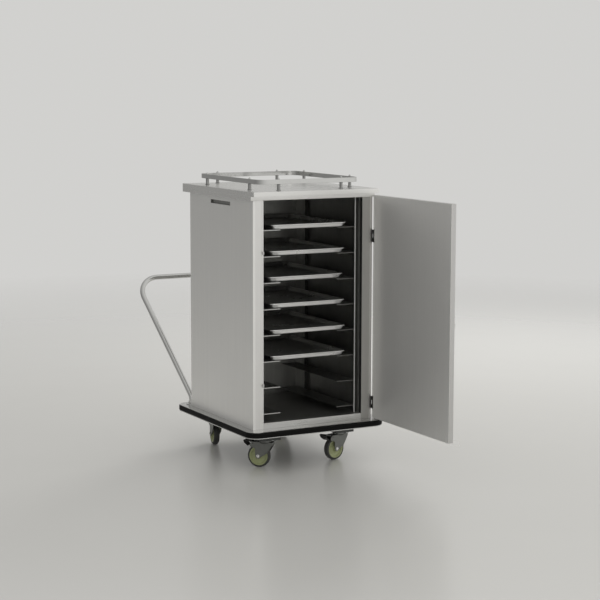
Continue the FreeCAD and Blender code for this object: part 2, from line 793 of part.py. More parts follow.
def insulation():
    """Foam slabs between the skins; the left one is thinner along its top, beside the hand slot."""
    start_y = FRONT + 24.0
    floor = BOTTOM + size("sill_height") - SHEET
    side_y = BACK - SHEET - start_y
    slot_room, slot_reach = 45.0, 14.0
    shelf_z = TOP - slot_room
    left = box("FoamLeft", LEFT + SHEET, start_y, BOTTOM, SIDE_WALL - SHEET * 2, side_y, shelf_z - BOTTOM)
    beside_slot = box("FoamBesideSlot", LEFT + SHEET + slot_reach, start_y, shelf_z,
                      SIDE_WALL - SHEET * 2 - slot_reach, side_y, WALL_TOP - shelf_z)
    right = box("FoamRight", INNER_RIGHT + SHEET, start_y, BOTTOM, SIDE_WALL - SHEET * 2, side_y, WALL_HEIGHT)
    back = box("FoamBack", INNER_LEFT - SHEET, INNER_BACK + SHEET, BOTTOM,
               WIDTH - SIDE_WALL * 2 + SHEET * 2, size("back_wall") - SHEET * 2, WALL_HEIGHT)
    bottom = box("FoamFloor", INNER_LEFT - SHEET, start_y, BOTTOM,
                 WIDTH - SIDE_WALL * 2 + SHEET * 2, INNER_BACK + SHEET - start_y, floor - BOTTOM)
    roof = box("FoamRoof", INNER_LEFT - SHEET, start_y, TOP + SHEET,
               WIDTH - SIDE_WALL * 2 + SHEET * 2, INNER_BACK + SHEET - start_y, WALL_TOP - TOP - SHEET)
    finish(group("Insulation", [left, beside_slot, right, back, bottom, roof]), "insulation_slabs")


def top_lid():
    """A cap with a deep skirt at the sides and back, a shallow one in front and a door lip under it."""
    side, ahead, behind = size("lid_side_reach"), size("lid_front_reach"), size("lid_back_reach")
    width = WIDTH + side * 2
    length = DEPTH + ahead + behind
    low_x = LEFT - side
    low_y = FRONT - ahead
    front_z = LID_TOP - size("lid_front_height")
    lip_y = FRONT - size("lip_reach")
    shell = cut(
        "LidShell",
        box("LidOutside", low_x, low_y, TOP, width, length, size("lid_height")),
        [
            box("LidInside", low_x + SHEET, low_y + SHEET, TOP - 1, width - SHEET * 2, length - SHEET * 2,
                size("lid_height") - SHEET + 1),
            box("LidFrontRelief", low_x - 1, low_y - 1, TOP - 1, width + 2, lip_y - low_y + 1,
                front_z - TOP + 1),
            box("LidHingeRelief", RIGHT, lip_y - 1, TOP - 1, side + 1, size("lip_reach") + 1,
                front_z - TOP + 1),
        ],
    )
    shelf = box("LidShelf", low_x + SHEET, low_y, front_z, width - SHEET * 2, FRONT - low_y, SHEET)
    lip = box("LidLip", low_x, lip_y, TOP, RIGHT - low_x, SHEET, front_z - TOP + SHEET)
    under = box("LidUnder", low_x, lip_y, TOP, RIGHT - low_x, size("lip_reach"), SHEET)
    closing = box("LidHingeEnd", RIGHT - SHEET, FRONT - SHEET, TOP, side + SHEET, SHEET,
                  front_z - TOP + SHEET)
    finish(fuse("Lid", [shell, shelf, lip, under, closing]), "top_lid")


def guard_rail():
    """A flat bar bent into a loop, on eight short posts with domed nuts."""
    inset = size("rail_inset")
    width = WIDTH - inset * 2
    length = DEPTH - size("rail_front") + size("rail_back")
    middle_y = FRONT + size("rail_front") + length / 2
    z = LID_TOP + size("rail_gap")
    bar = size("rail_bar")
    corner = size("rail_corner")
    body = new_body("GuardRail", MIDDLE_X, middle_y, z)
    outer = sketch_on(body, "GuardRail_outer")
    rounded_rectangle(outer, width + bar, length + bar, corner + bar / 2)
    pad(body, outer, size("rail_height"))
    inner = sketch_on(body, "GuardRail_inner")
    rounded_rectangle(inner, width - bar, length - bar, corner - bar / 2)
    pocket(body, inner, size("rail_height"), forwards=True)
    finish(body, "guard_rail")

    front_y = FRONT + size("rail_front")
    end_x = LEFT + 172.0
    places = []
    for x in (end_x, RIGHT - 172.0):
        places += [(x, front_y), (x, BACK + size("rail_back"))]
    for x in (LEFT + inset, RIGHT - inset):
        places += [(x, FRONT + 146.0), (x, FRONT + 664.0)]
    posts = []
    nuts = []
    for i, (x, y) in enumerate(places):
        posts.append(cylinder(f"RailPost{i}", x, y, LID_TOP, size("rail_post_radius"), size("rail_gap")))
        collar = cylinder(f"RailNutCollar{i}", x, y, z + size("rail_height"), 6.0, 3.0)
        dome = sphere_cap(f"RailNutDome{i}", x, y, z + size("rail_height") + 3, 5.5)
        nuts.append(fuse(f"RailNut{i}", [collar, dome]))
    finish(group("GuardRailPosts", posts), "guard_rail_posts")
    finish(group("GuardRailNuts", nuts), "guard_rail_nuts")


# ---------------------------------------------------------------- rack and trays

LEVELS = 8
TRAY_LEVELS = (8, 7, 6, 5, 4, 3)
SLIDE_LIP = 4.0
PUSHED_BACK = {1: -14.0, 3: 20.0, 5: -8.0, 6: -8.0}


def level_z(level):
    return BOTTOM + size("first_slide") + size("slide_pitch") * float(level - 1)


def rack():
    """Four channel uprights carry the angle slides; the front end of each slide is turned down."""
    floor = BOTTOM + size("sill_height")
    upright = size("upright_width")
    uprights = []
    for side in (-1, 1):
        x = INNER_LEFT if side < 0 else INNER_RIGHT - upright
        for i, y in enumerate((FRONT + size("slide_start"), FRONT + size("slide_start") + 560.0)):
            name = f"Upright{'L' if side < 0 else 'R'}{i}"
            post = box(f"{name}Outside", x, y, floor, upright, size("upright_depth"), TOP - floor)
            core_x = x - 1 if side < 0 else x + SHEET
            core = box(f"{name}Inside", core_x, y + SHEET, floor - 1, upright - SHEET + 1,
                       size("upright_depth") - SHEET * 2, TOP - floor + 2)
            uprights.append(cut(name, post, [core]))
    finish(group("RackUprights", uprights), "rack_uprights")
    reach = size("slide_reach")
    for side, label in ((-1, "left_tray_slides"), (1, "right_tray_slides")):
        slides = []
        for level in range(1, LEVELS + 1):
            name = f"Slide{'L' if side < 0 else 'R'}{level}"
            wall_x = INNER_LEFT + upright if side < 0 else INNER_RIGHT - upright - SHEET
            shelf_x = INNER_LEFT + upright if side < 0 else INNER_RIGHT - upright - reach
            y = FRONT + size("slide_start")
            shelf_z = level_z(level) - SHEET
            shelf = box(f"{name}Shelf", shelf_x, y, shelf_z, reach, size("slide_length"), SHEET)
            web = box(f"{name}Web", wall_x, y, level_z(level) - 18, SHEET, size("slide_length"), 18.0)
            lip = box(f"{name}Lip", shelf_x, y, shelf_z - SLIDE_LIP, reach, SHEET, SLIDE_LIP)
            slides.append(fuse(name, [shelf, web, lip]))
        finish(group(f"Slides{'Left' if side < 0 else 'Right'}", slides), label)


def tray(order, level):
    """A flared sheet tray with a rolled rim."""
    width, length = size("tray_width"), size("tray_length")
    height, skin, flare = size("tray_height"), size("tray_sheet"), size("tray_flare")
    rim = 5.0
    y = FRONT + size("tray_start") + length / 2 + PUSHED_BACK.get(order, 0.0)
    body = new_body(f"Tray{order}", MIDDLE_X, y, level_z(level) + 0.4)
    low = sketch_on(body, f"Tray{order}_low")
    rounded_rectangle(low, width - flare * 2, length - flare * 2, 18.0)
    high = sketch_on(body, f"Tray{order}_high", lift=height)
    rounded_rectangle(high, width - rim * 2, length - rim * 2, 30.0)
    shell = body.newObject("PartDesign::AdditiveLoft", f"Tray{order}_shell")
    shell.Profile = low
    shell.Sections = [high]
    edge = sketch_on(body, f"Tray{order}_edge", lift=height - rim)
    rounded_rectangle(edge, width, length, 35.0)
    pad(body, edge, rim)
    inner_low = sketch_on(body, f"Tray{order}_innerlow", lift=skin)
    rounded_rectangle(inner_low, width - flare * 2 - skin * 2, length - flare * 2 - skin * 2, 16.5)
    inner_high = sketch_on(body, f"Tray{order}_innerhigh", lift=height + 0.5)
    rounded_rectangle(inner_high, width - rim * 2 - skin * 2, length - rim * 2 - skin * 2, 28.5)
    hollow = body.newObject("PartDesign::SubtractiveLoft", f"Tray{order}_hollow")
    hollow.Profile = inner_low
    hollow.Sections = [inner_high]
    finish(body, f"tray_{order}")


# ---------------------------------------------------------------- door

DOOR_X = HINGE_X - size("hinge_y") + size("door_standoff")
DOOR_END = HINGE_Y + size("door_overlap")
NOTCH_Y = DOOR_END - size("notch_depth")
DOOR_FREE = DOOR_END - size("door_width")
DOOR_LOW = BOTTOM + size("door_lift")
DOOR_TALL = TOP + size("door_rise") - DOOR_LOW
DOOR_THICK = size("door_thickness")


def hinge_notches(name, grow):
    """The two notches in the hinge edge of the door, grown all round by a skin."""
    notches = []
    for which in ("lower_hinge", "upper_hinge"):
        low = BOTTOM + size(which) - size("notch_height") / 2 - grow
        notches.append(
            box(f"{name}_{which}", DOOR_X - 1, NOTCH_Y - grow, low, DOOR_THICK + 2,
                size("notch_depth") + grow + 1, size("notch_height") + grow * 2)
        )
    return notches


def door():
    """Outer pan, inner sheet and foam core; the inner face looks towards -X while the door is open."""
    skin = size("sheet")
    width = size("door_width")
    tall = DOOR_TALL - skin * 2
    shell = box("DoorPanOutside", DOOR_X + skin, DOOR_FREE, DOOR_LOW, DOOR_THICK - skin, width, DOOR_TALL)
    space = cut(
        "DoorPanSpace",
        box("DoorPanInside", DOOR_X, DOOR_FREE + skin, DOOR_LOW + skin, DOOR_THICK - skin,
            width - skin * 2, tall),
        hinge_notches("DoorPanLining", skin),
    )
    finish(cut("DoorOuterPan", shell, [space, *hinge_notches("DoorPanNotch", 0.0)]), "door_outer_pan")
    sheet_face = box("DoorSheetFace", DOOR_X, DOOR_FREE, DOOR_LOW, skin, width, DOOR_TALL)
    finish(cut("DoorInnerSheet", sheet_face, hinge_notches("DoorSheetNotch", 0.0)), "door_inner_sheet")
    block = box("DoorFoam", DOOR_X + skin, DOOR_FREE + skin, DOOR_LOW + skin, DOOR_THICK - skin * 2,
                width - skin * 2, tall)
    finish(cut("DoorCore", block, hinge_notches("DoorCoreNotch", skin)), "door_core")


def hinges():
    """Two butt hinges: frame leaf, door leaf and pin, on one vertical axis."""
    radius = size("knuckle_radius")
    tall = size("hinge_height")
    leaf = size("hinge_leaf")
    pin_radius, running = 3.0, 0.06
    gap = 0.4
    frame_leaves, door_leaves, pins = [], [], []
    for name, centre in (("Lower", size("lower_hinge")), ("Upper", size("upper_hinge"))):
        low = BOTTOM + centre - tall / 2
        third = tall / 3
        frame_parts = [box(f"{name}FrameLeaf", RIGHT, FRONT - 6, low, leaf, 42.0, tall - gap)]
        for i, z in enumerate((low, low + third * 2)):
            frame_parts.append(cylinder(f"{name}FrameKnuckle{i}", HINGE_X, HINGE_Y, z, radius, third - gap))
            frame_parts.append(
                box(f"{name}FrameNeck{i}", RIGHT, HINGE_Y, z, leaf, size("hinge_y"), third - gap)
            )
        bore = cylinder(f"{name}FrameBore", HINGE_X, HINGE_Y, low - 1, pin_radius, tall + 2)
        frame_leaves.append(cut(f"{name}FrameHinge", fuse(f"{name}FrameSolid", frame_parts), [bore]))
        knuckle = cylinder(f"{name}DoorKnuckle", HINGE_X, HINGE_Y, low + third, radius, third - gap)
        neck = box(f"{name}DoorNeck", HINGE_X - 2, NOTCH_Y, low + third, 5.0, HINGE_Y - NOTCH_Y, third - gap)
        plate = box(f"{name}DoorLeaf", DOOR_X + 2, NOTCH_Y, low, DOOR_THICK - 4, leaf, tall - gap)
        bore = cylinder(f"{name}DoorBore", HINGE_X, HINGE_Y, low - 1, pin_radius + running, tall + 2)
        door_leaves.append(cut(f"{name}DoorHinge", fuse(f"{name}DoorSolid", [knuckle, neck, plate]), [bore]))
        pins.append(cylinder(f"{name}Pin", HINGE_X, HINGE_Y, low - 2, pin_radius, tall + 4 - gap))
    finish(group("HingeFrameLeaves", frame_leaves), "hinge_frame_leaves")
    finish(group("HingeDoorLeaves", door_leaves), "hinge_door_leaves")
    finish(group("HingePins", pins), "hinge_pins")


def door_pull():
    """A level strap handle on the outer face, near the free edge of the door."""
    strap, tall, reach, span = 3.0, 20.0, 26.0, 120.0
    outer_x = DOOR_X + DOOR_THICK
    low_y = DOOR_FREE + 32.0
    z = BOTTOM + size("pull_height") - tall / 2
    body = new_body("DoorPull", outer_x, low_y, z)
    shape = sketch_on(body, "DoorPull_shape")
    outline(
        shape,
        (
            (0.0, -14.0),
            (strap, -14.0),
            (strap, 0.0),
            (reach, 0.0),
            (reach, span),
            (strap, span),
            (strap, span + 14),
            (0.0, span + 14),
            (0.0, span - strap),
            (reach - strap, span - strap),
            (reach - strap, strap),
            (0.0, strap),
        ),
    )
    pad(body, shape, tall)
    round_edges(body, 2.5, lambda edge: along(edge, Vector(0, 0, 1)) and edge.CenterOfMass.x > reach - 1)
    finish(body, "door_pull")


def catches():
    """Two magnetic catches on the left post; the steel door skin is their armature."""
    pieces = []
    for name, height in (("Lower", size("lower_catch")), ("Upper", size("upper_catch"))):
        deep = size("door_standoff") - 0.5
        pieces.append(
            box(f"{name}Catch", LEFT + 53.5, FRONT - deep, BOTTOM + height - 8, 8.0, deep - POST_TRIM, 16.0)
        )
    finish(group("Catches", pieces), "magnetic_catches")


# ---------------------------------------------------------------- push handle

def handle_corners():
    """Where the straight runs of the left half of the handle would meet."""
    foot_x = number(LEFT + size("handle_foot_inset"))
    foot_y = number(BACK + size("handle_foot_back"))
    deck = number(BASE_TOP)
    grip_x = number(LEFT - size("handle_splay"))
    grip_y = number(BACK + size("handle_back"))
    grip_z = number(size("handle_top"))
    return (
        Vector(foot_x, foot_y, deck),
        Vector(foot_x, foot_y, deck + number(size("handle_knee"))),
        Vector(grip_x, grip_y, grip_z),
    )


def bend(before, corner, after, radius):
    """The arc that rounds a corner between two straight runs: start, middle and end point."""
    towards = (before - corner).normalize()
    onwards = (after - corner).normalize()
    half = towards.getAngle(onwards) / 2
    setback = radius / math.tan(half)
    start = corner + towards * setback
    end = corner + onwards * setback
    bisector = (towards + onwards).normalize()
    middle = corner + bisector * (radius / math.sin(half) - radius)
    return start, middle, end


def push_handle():
    """A bent tube: two legs that rise from the deck, lean back and splay, joined by the grip."""
    foot, knee, grip = handle_corners()
    mirror_x = 2 * number(MIDDLE_X)

    def mirrored(point):
        return Vector(mirror_x - point.x, point.y, point.z)

    low_bend = bend(foot, knee, grip, 45.0)
    high_bend = bend(knee, grip, mirrored(grip), 125.0)
    points = [foot, *low_bend, *high_bend]
    points += [mirrored(p) for p in reversed(points)]
    edges = []
    straight = [(0, 1), (3, 4), (6, 7), (9, 10), (12, 13)]
    arcs = [(1, 2, 3), (4, 5, 6), (7, 8, 9), (10, 11, 12)]
    for (a, b), arc in zip(straight, arcs + [None]):
        edges.append(Part.LineSegment(points[a], points[b]).toShape())
        if arc:
            edges.append(Part.Arc(*[points[k] for k in arc]).toShape())
    route = Part.Wire(edges)
    radius = number(size("handle_radius"))
    tubes = []
    for r in (radius, radius - number(size("handle_wall"))):
        ring_edge = Part.Circle(foot, Vector(0, 0, 1), r).toShape()
        tubes.append(route.makePipeShell([Part.Wire([ring_edge])], True, False))
    tube = doc.addObject("Part::Feature", "PushHandle")
    tube.Shape = tubes[0].cut(tubes[1])
    tube.Placement = FreeCAD.Placement()
    finish(tube, "push_handle")

    sockets = []
    for side, x in (("Left", LEFT + size("handle_foot_inset")), ("Right", RIGHT - size("handle_foot_inset"))):
        y = BACK + size("handle_foot_back")
        flange = cylinder(f"Socket{side}Flange", x, y, BASE_TOP, 30.0, 4.0)
        collar = cylinder(f"Socket{side}Collar", x, y, BASE_TOP, size("handle_radius") + 4.0, 18.0)
        bore = cylinder(f"Socket{side}Bore", x, y, BASE_TOP - 1, size("handle_radius"), 20.0)
        sockets.append(cut(f"Socket{side}", fuse(f"Socket{side}Solid", [flange, collar]), [bore]))
    finish(group("HandleSockets", sockets), "handle_sockets")


# ---------------------------------------------------------------- assembly

base_pan()
bumper()
chassis()
caster_plates()
for caster in CASTERS:
    fork(*caster)
    wheel(*caster)
    axle(*caster)
    pedal(*caster)
side_panels()
back_panel()
front_posts()
front_sill_and_header()
liner()
insulation()
top_lid()
guard_rail()
rack()
for order, level in enumerate(TRAY_LEVELS, start=1):
    tray(order, level)
door()
hinges()
door_pull()
catches()
push_handle()
doc.recompute()

for feature in doc.Objects:
    if "Invalid" in feature.State or "Error" in feature.State:
        raise RuntimeError(f"{feature.Name} failed: {feature.State}")
os.makedirs("parts", exist_ok=True)
for feature in FINISHED:
    shape = feature.Shape
    if shape.isNull() or not shape.isValid():
        raise RuntimeError(f"{feature.Label} has no valid shape")
    shape.exportStep(f"parts/{feature.Label}.step")
print(len(FINISHED), "sub-parts")
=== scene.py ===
"""Looks of a closed food service trolley: brushed and polished stainless steel, rubber, nylon and aluminium trays.

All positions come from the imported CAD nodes, in metres, +Z up, -Y the front, +X the hinge side.
"""

import bpy
import bmesh
import json
import math
from mathutils import Matrix, Vector


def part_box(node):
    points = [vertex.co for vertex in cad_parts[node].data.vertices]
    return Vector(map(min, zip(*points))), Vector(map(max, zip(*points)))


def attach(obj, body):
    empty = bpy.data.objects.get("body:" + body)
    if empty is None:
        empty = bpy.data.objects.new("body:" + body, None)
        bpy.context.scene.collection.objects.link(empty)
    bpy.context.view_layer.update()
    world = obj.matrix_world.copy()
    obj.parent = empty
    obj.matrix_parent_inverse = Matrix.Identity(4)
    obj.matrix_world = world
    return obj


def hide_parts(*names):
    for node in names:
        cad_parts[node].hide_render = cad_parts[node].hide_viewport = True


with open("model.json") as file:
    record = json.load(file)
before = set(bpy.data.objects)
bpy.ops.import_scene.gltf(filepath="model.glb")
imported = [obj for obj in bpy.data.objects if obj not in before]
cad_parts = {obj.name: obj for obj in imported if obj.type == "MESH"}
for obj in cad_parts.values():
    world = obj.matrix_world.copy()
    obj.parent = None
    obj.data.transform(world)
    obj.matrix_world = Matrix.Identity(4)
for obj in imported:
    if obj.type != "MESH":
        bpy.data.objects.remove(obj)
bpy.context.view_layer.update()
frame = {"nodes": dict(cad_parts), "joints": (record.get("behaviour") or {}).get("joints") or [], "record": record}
NODES = frame["nodes"]
BODY_OF = {n: b for b, members in frame["record"]["behaviour"]["bodies"].items() for n in members}
SLOT_OF = {s["node"]: s["material_slot"] for s in frame["record"]["subparts"]}
JOINTS = {j["name"]: j for j in frame["joints"]}
CORNERS = ("front_left", "front_right", "back_left", "back_right")
UP, DOWN = (0, 0, 1), (0, 0, -1)
OUT_RIGHT, OUT_BACK = (1, 0, 0), (0, 1, 0)
MERGE = 0.00002
# edges flatter than FLAT are merged into one face, edges sharper than BENT are rounded
FLAT, BENT = math.radians(0.5), math.radians(40)
scene = bpy.context.scene

# ------------------------------------------------------------------ materials


class Shader:
    """A small builder for one Principled material."""

    def __init__(self, name):
        self.material = bpy.data.materials.new(name)
        self.material.use_nodes = True
        self.tree = self.material.node_tree
        self.bsdf = self.tree.nodes["Principled BSDF"]
        self.coords = self.add("ShaderNodeTexCoord")

    def add(self, kind, **settings):
        node = self.tree.nodes.new(kind)
        for key, value in settings.items():
            setattr(node, key, value)
        return node

    def link(self, a, b):
        self.tree.links.new(a, b)

    def mapped(self, scale, rotation=(0, 0, 0)):
        node = self.add("ShaderNodeMapping")
        node.inputs["Scale"].default_value = scale
        node.inputs["Rotation"].default_value = rotation
        self.link(self.coords.outputs["Object"], node.inputs["Vector"])
        return node.outputs["Vector"]

    def noise(self, scale, detail=3.0, roughness=0.55, vector=None, distortion=0.0):
        """A noise pattern, 0 to 1; scale is one number, or three for a pattern drawn out along an axis."""
        node = self.add("ShaderNodeTexNoise")
        node.inputs["Detail"].default_value = detail
        node.inputs["Roughness"].default_value = roughness
        node.inputs["Distortion"].default_value = distortion
        if isinstance(scale, tuple):
            node.inputs["Scale"].default_value = 1.0
            vector = self.mapped(scale)
        else:
            node.inputs["Scale"].default_value = scale
            vector = vector or self.coords.outputs["Object"]
        self.link(vector, node.inputs["Vector"])
        return node.outputs["Fac"]

    def spread(self, value, low, high, to_low=0.0, to_high=1.0):
        """Stretches the range low to high onto to_low to to_high, and holds the ends."""
        node = self.add("ShaderNodeMapRange", clamp=True)
        node.inputs["From Min"].default_value = low
        node.inputs["From Max"].default_value = high
        node.inputs["To Min"].default_value = to_low
        node.inputs["To Max"].default_value = to_high
        self.link(value, node.inputs["Value"])
        return node.outputs["Result"]

    def math(self, operation, a, b):
        node = self.add("ShaderNodeMath", operation=operation)
        for socket, value in zip(node.inputs, (a, b)):
            if isinstance(value, (int, float)):
                socket.default_value = value
            else:
                self.link(value, socket)
        return node.outputs[0]

    def mix(self, factor, a, b):
        """Blends from a to b; each is a colour or the output of a node. Sockets 0, 6, 7 and 2 are the colour ones."""
        node = self.add("ShaderNodeMix", data_type="RGBA")
        self.link(factor, node.inputs[0])
        for socket, value in ((node.inputs[6], a), (node.inputs[7], b)):
            if isinstance(value, tuple):
                socket.default_value = (*value, 1.0)
            else:
                self.link(value, socket)
        return node.outputs[2]

    def bump(self, height, strength, distance, under=None):
        node = self.add("ShaderNodeBump")
        node.inputs["Strength"].default_value = strength
        node.inputs["Distance"].default_value = distance
        self.link(height, node.inputs["Height"])
        if under is not None:
            self.link(under, node.inputs["Normal"])
        return node.outputs["Normal"]

    def set(self, socket, value):
        target = self.bsdf.inputs[socket]
        if isinstance(value, (int, float)):
            target.default_value = value
        else:
            self.link(value, target)


def shade(color, factor):
    """A colour made darker or lighter, and never above white."""
    return tuple(min(1.0, c * factor) for c in color)


# noise scales for a fine grain and for broad bands that run along one axis
GRAIN = {"X": (2.0, 420.0, 420.0), "Y": (420.0, 2.0, 420.0), "Z": (420.0, 420.0, 2.0)}
BANDS = {"X": (0.5, 60.0, 60.0), "Y": (60.0, 0.5, 60.0), "Z": (60.0, 60.0, 0.5)}


def brushed(name, color, rough=0.36, grain="Z", streak=0.07, bump=0.06, smudge=0.04, dirt=0.0, drawn=0.0,
            metallic=1.0):
    """Sheet stainless with a ground finish: fine and broad grain, faint wipe marks and finger smudges."""
    s = Shader(name)
    fine = s.noise(GRAIN[grain], detail=4.0, roughness=0.65)
    broad = s.noise(BANDS[grain], detail=2.0)
    cloud = s.noise(2.6, detail=3.0, distortion=0.3)
    grain_mix = s.math("ADD", s.math("MULTIPLY", fine, 0.75), s.math("MULTIPLY", broad, 0.25))
    tone = s.spread(grain_mix, 0.30, 0.70)
    base = s.mix(tone, shade(color, 1 - streak), shade(color, 1 + streak * 0.6))
    base = s.mix(s.math("MULTIPLY", s.spread(cloud, 0.35, 0.70), 0.3), base, shade(color, 0.95))
    if dirt:
        grime = s.spread(s.noise(11.0, detail=6.0), 0.5, 0.8)
        base = s.mix(s.math("MULTIPLY", grime, dirt), base, shade(color, 0.4))
    s.set("Base Color", base)
    s.set("Metallic", metallic)
    wiped = s.spread(cloud, 0.3, 0.72, rough - smudge * 0.5, rough + smudge)
    s.set("Roughness", s.math("ADD", wiped, s.spread(fine, 0.3, 0.7, -0.02, 0.02)))
    s.set("Normal", s.bump(grain_mix, bump, 0.0004))
    if drawn:
        tangent = s.add("ShaderNodeTangent", direction_type="RADIAL", axis="Z")
        s.set("Anisotropic", drawn)
        s.set("Anisotropic Rotation", 0.25)
        s.link(tangent.outputs[0], s.bsdf.inputs["Tangent"])
    return s.material


def polished(name, color, rough, haze=0.06):
    """Bright metal with polishing haze and a few fine scratches."""
    s = Shader(name)
    cloud = s.noise(9.0, detail=4.0, distortion=0.4)
    hair = s.noise((700.0, 35.0, 700.0), detail=2.0)
    cross = s.noise((45.0, 650.0, 650.0), detail=2.0)
    scratch = s.math("MAXIMUM", s.spread(hair, 0.66, 0.74), s.spread(cross, 0.66, 0.74))
    s.set("Base Color", s.mix(s.spread(cloud, 0.3, 0.7), color, shade(color, 0.95)))
    s.set("Metallic", 1.0)
    hazy = s.spread(cloud, 0.35, 0.75, rough, rough + haze)
    s.set("Roughness", s.math("ADD", hazy, s.math("MULTIPLY", scratch, 0.10)))
    s.set("Normal", s.bump(s.noise(12.0, detail=1.0), 0.01, 0.002, under=s.bump(scratch, 0.03, 0.0003)))
    return s.material


def zinc(name, color, rough):
    """Zinc-plated steel: soft crystalline mottling, greyer towards the edges of each crystal flake, with dull rub
    marks.
    """
    s = Shader(name)
    flake = s.add("ShaderNodeTexVoronoi")
    flake.inputs["Scale"].default_value = 260.0
    s.link(s.coords.outputs["Object"], flake.inputs["Vector"])
    cloud = s.noise(45.0, detail=5.0)
    base = s.mix(s.spread(cloud, 0.3, 0.7), shade(color, 0.78), shade(color, 1.06))
    base = s.mix(s.math("MULTIPLY", s.spread(flake.outputs["Distance"], 0.0, 0.6), 0.20), base, shade(color, 0.70))
    s.set("Base Color", base)
    s.set("Metallic", 1.0)
    s.set("Roughness", s.spread(cloud, 0.3, 0.75, rough - 0.08, rough + 0.14))
    s.set("Normal", s.bump(s.noise(320.0, detail=3.0), 0.12, 0.0004))
    return s.material


def rubber(name, color, rough, scuff, scuff_color, sheen=0.0, gloss=0.45):
    """Moulded rubber with a fine matt skin, dusty scuffs and slight tone changes."""
    s = Shader(name)
    cloud = s.noise(22.0, detail=5.0, distortion=0.3)
    rub = s.spread(s.noise((14.0, 14.0, 60.0), detail=6.0, roughness=0.7), 0.56, 0.74)
    base = s.mix(s.spread(cloud, 0.3, 0.7), shade(color, 0.75), shade(color, 1.25))
    s.set("Base Color", s.mix(s.math("MULTIPLY", rub, scuff), base, scuff_color))
    skin = s.spread(cloud, 0.3, 0.7, rough - 0.07, rough + 0.07)
    s.set("Roughness", s.math("ADD", skin, s.math("MULTIPLY", rub, 0.12)))
    s.set("Specular IOR Level", gloss)
    s.set("Sheen Weight", sheen)
    s.set("Normal", s.bump(s.noise(900.0, detail=2.0), 0.18, 0.0004, under=s.bump(cloud, 0.05, 0.001)))
    return s.material


def plastic(name, color, rough, mottle=0.10, dust=0.0):
    """Injection-moulded plastic with a fine spark-eroded skin and faint flow marks."""
    s = Shader(name)
    cloud = s.noise(30.0, detail=4.0, distortion=0.8)
    base = s.mix(s.spread(cloud, 0.3, 0.7), shade(color, 1 - mottle), shade(color, 1 + mottle))
    if dust:
        specks = s.spread(s.noise(70.0, detail=6.0), 0.5, 0.75)
        base = s.mix(s.math("MULTIPLY", specks, dust), base, (0.32, 0.31, 0.28))
    s.set("Base Color", base)
    s.set("Roughness", s.spread(cloud, 0.3, 0.7, rough - 0.06, rough + 0.08))
    s.set("Coat Weight", 0.08)
    s.set("Normal", s.bump(s.noise(1100.0, detail=2.0), 0.10, 0.0003))
    return s.material


def pressed_aluminium(name, color, metallic):
    """Tray aluminium: satin, with wipe marks, knife scratches and small dents."""
    s = Shader(name)
    cloud = s.noise(7.0, detail=5.0, distortion=0.5)
    hair = s.noise((30.0, 900.0, 900.0), detail=2.0)
    slanted = s.mapped((25.0, 800.0, 800.0), rotation=(0, 0, 0.7))
    diagonal = s.noise(1.0, detail=2.0, roughness=0.5, vector=slanted)
    scratch = s.math("MAXIMUM", s.spread(hair, 0.64, 0.72), s.spread(diagonal, 0.65, 0.72))
    s.set("Base Color", s.mix(s.spread(cloud, 0.3, 0.7), color, shade(color, 0.90)))
    s.set("Metallic", metallic)
    s.set("Roughness", s.math("ADD", s.spread(cloud, 0.3, 0.7, 0.26, 0.34), s.math("MULTIPLY", scratch, 0.10)))
    s.set("Normal", s.bump(s.noise(20.0, detail=2.0), 0.02, 0.002, under=s.bump(scratch, 0.01, 0.0003)))
    return s.material


PANEL = brushed("panel_brushed", (0.84, 0.835, 0.82), rough=0.40, streak=0.05, drawn=0.5)
DOOR = brushed("door_brushed", (0.86, 0.855, 0.84), rough=0.50, streak=0.04, smudge=0.02, drawn=0.8, metallic=0.6)
# painted shade: the door's outer pan is a darker copy of the door steel, so it stays dim in the window light
DOOR_PAN_PAINTED_SHADE = brushed("door_pan_painted_shade", (0.64, 0.635, 0.62), rough=0.36, streak=0.05, drawn=0.5)
# painted shade: the right side and back panels are a darker copy of the panel steel, so the sides facing the window
# light stay dim
PANEL_FAR_PAINTED_SHADE = brushed("far_panel_painted_shade", (0.60, 0.595, 0.58), rough=0.40, streak=0.05, drawn=0.5)
POST = brushed("post_brushed", (0.74, 0.735, 0.72), rough=0.34)
# painted shade: the hinge-side front post is the post steel darkened for the shade of the open door
HINGE_POST_PAINTED_SHADE = brushed("hinge_post_painted_shade", (0.40, 0.395, 0.38), rough=0.34)
LID = brushed("lid_brushed", (0.79, 0.785, 0.77), rough=0.26, grain="Y", streak=0.04, bump=0.03, smudge=0.03)
SILL = brushed("sill_brushed", (0.60, 0.60, 0.59), rough=0.28, grain="X")
LINER = brushed("liner_brushed", (0.42, 0.42, 0.405), rough=0.42, streak=0.15, dirt=0.3)
# painted shade: the tray rack and its uprights are steel darkened for the shade inside the cabinet
RACK_PAINTED_SHADE = brushed("rack_painted_shade", (0.26, 0.26, 0.25), rough=0.36, grain="Y")
UPRIGHT_PAINTED_SHADE = brushed("upright_painted_shade", (0.34, 0.34, 0.33), rough=0.34)
# painted highlight on the front ends of the left slides, painted shade on the front ends of the right slides
SLIDE_FRONT_PAINTED_HIGHLIGHT = brushed("slide_front_painted_highlight", (0.48, 0.48, 0.47), rough=0.30, grain="X")
SLIDE_FRONT_PAINTED_SHADE = brushed("slide_front_painted_shade", (0.15, 0.15, 0.145), rough=0.36, grain="X")
# painted shade: near-black steel for the inner side of the hinge-side post and the front faces of the uprights
RETURN_PAINTED_SHADE = brushed("post_return_painted_shade", (0.055, 0.055, 0.053), rough=0.40)
# the lid's front faces: grain along X, and a slightly darker tone that is painted shade
LID_FRONT_GRAIN_AND_SHADE = brushed("lid_front_grain_and_painted_shade", (0.75, 0.745, 0.73), rough=0.30, grain="X", streak=0.04)
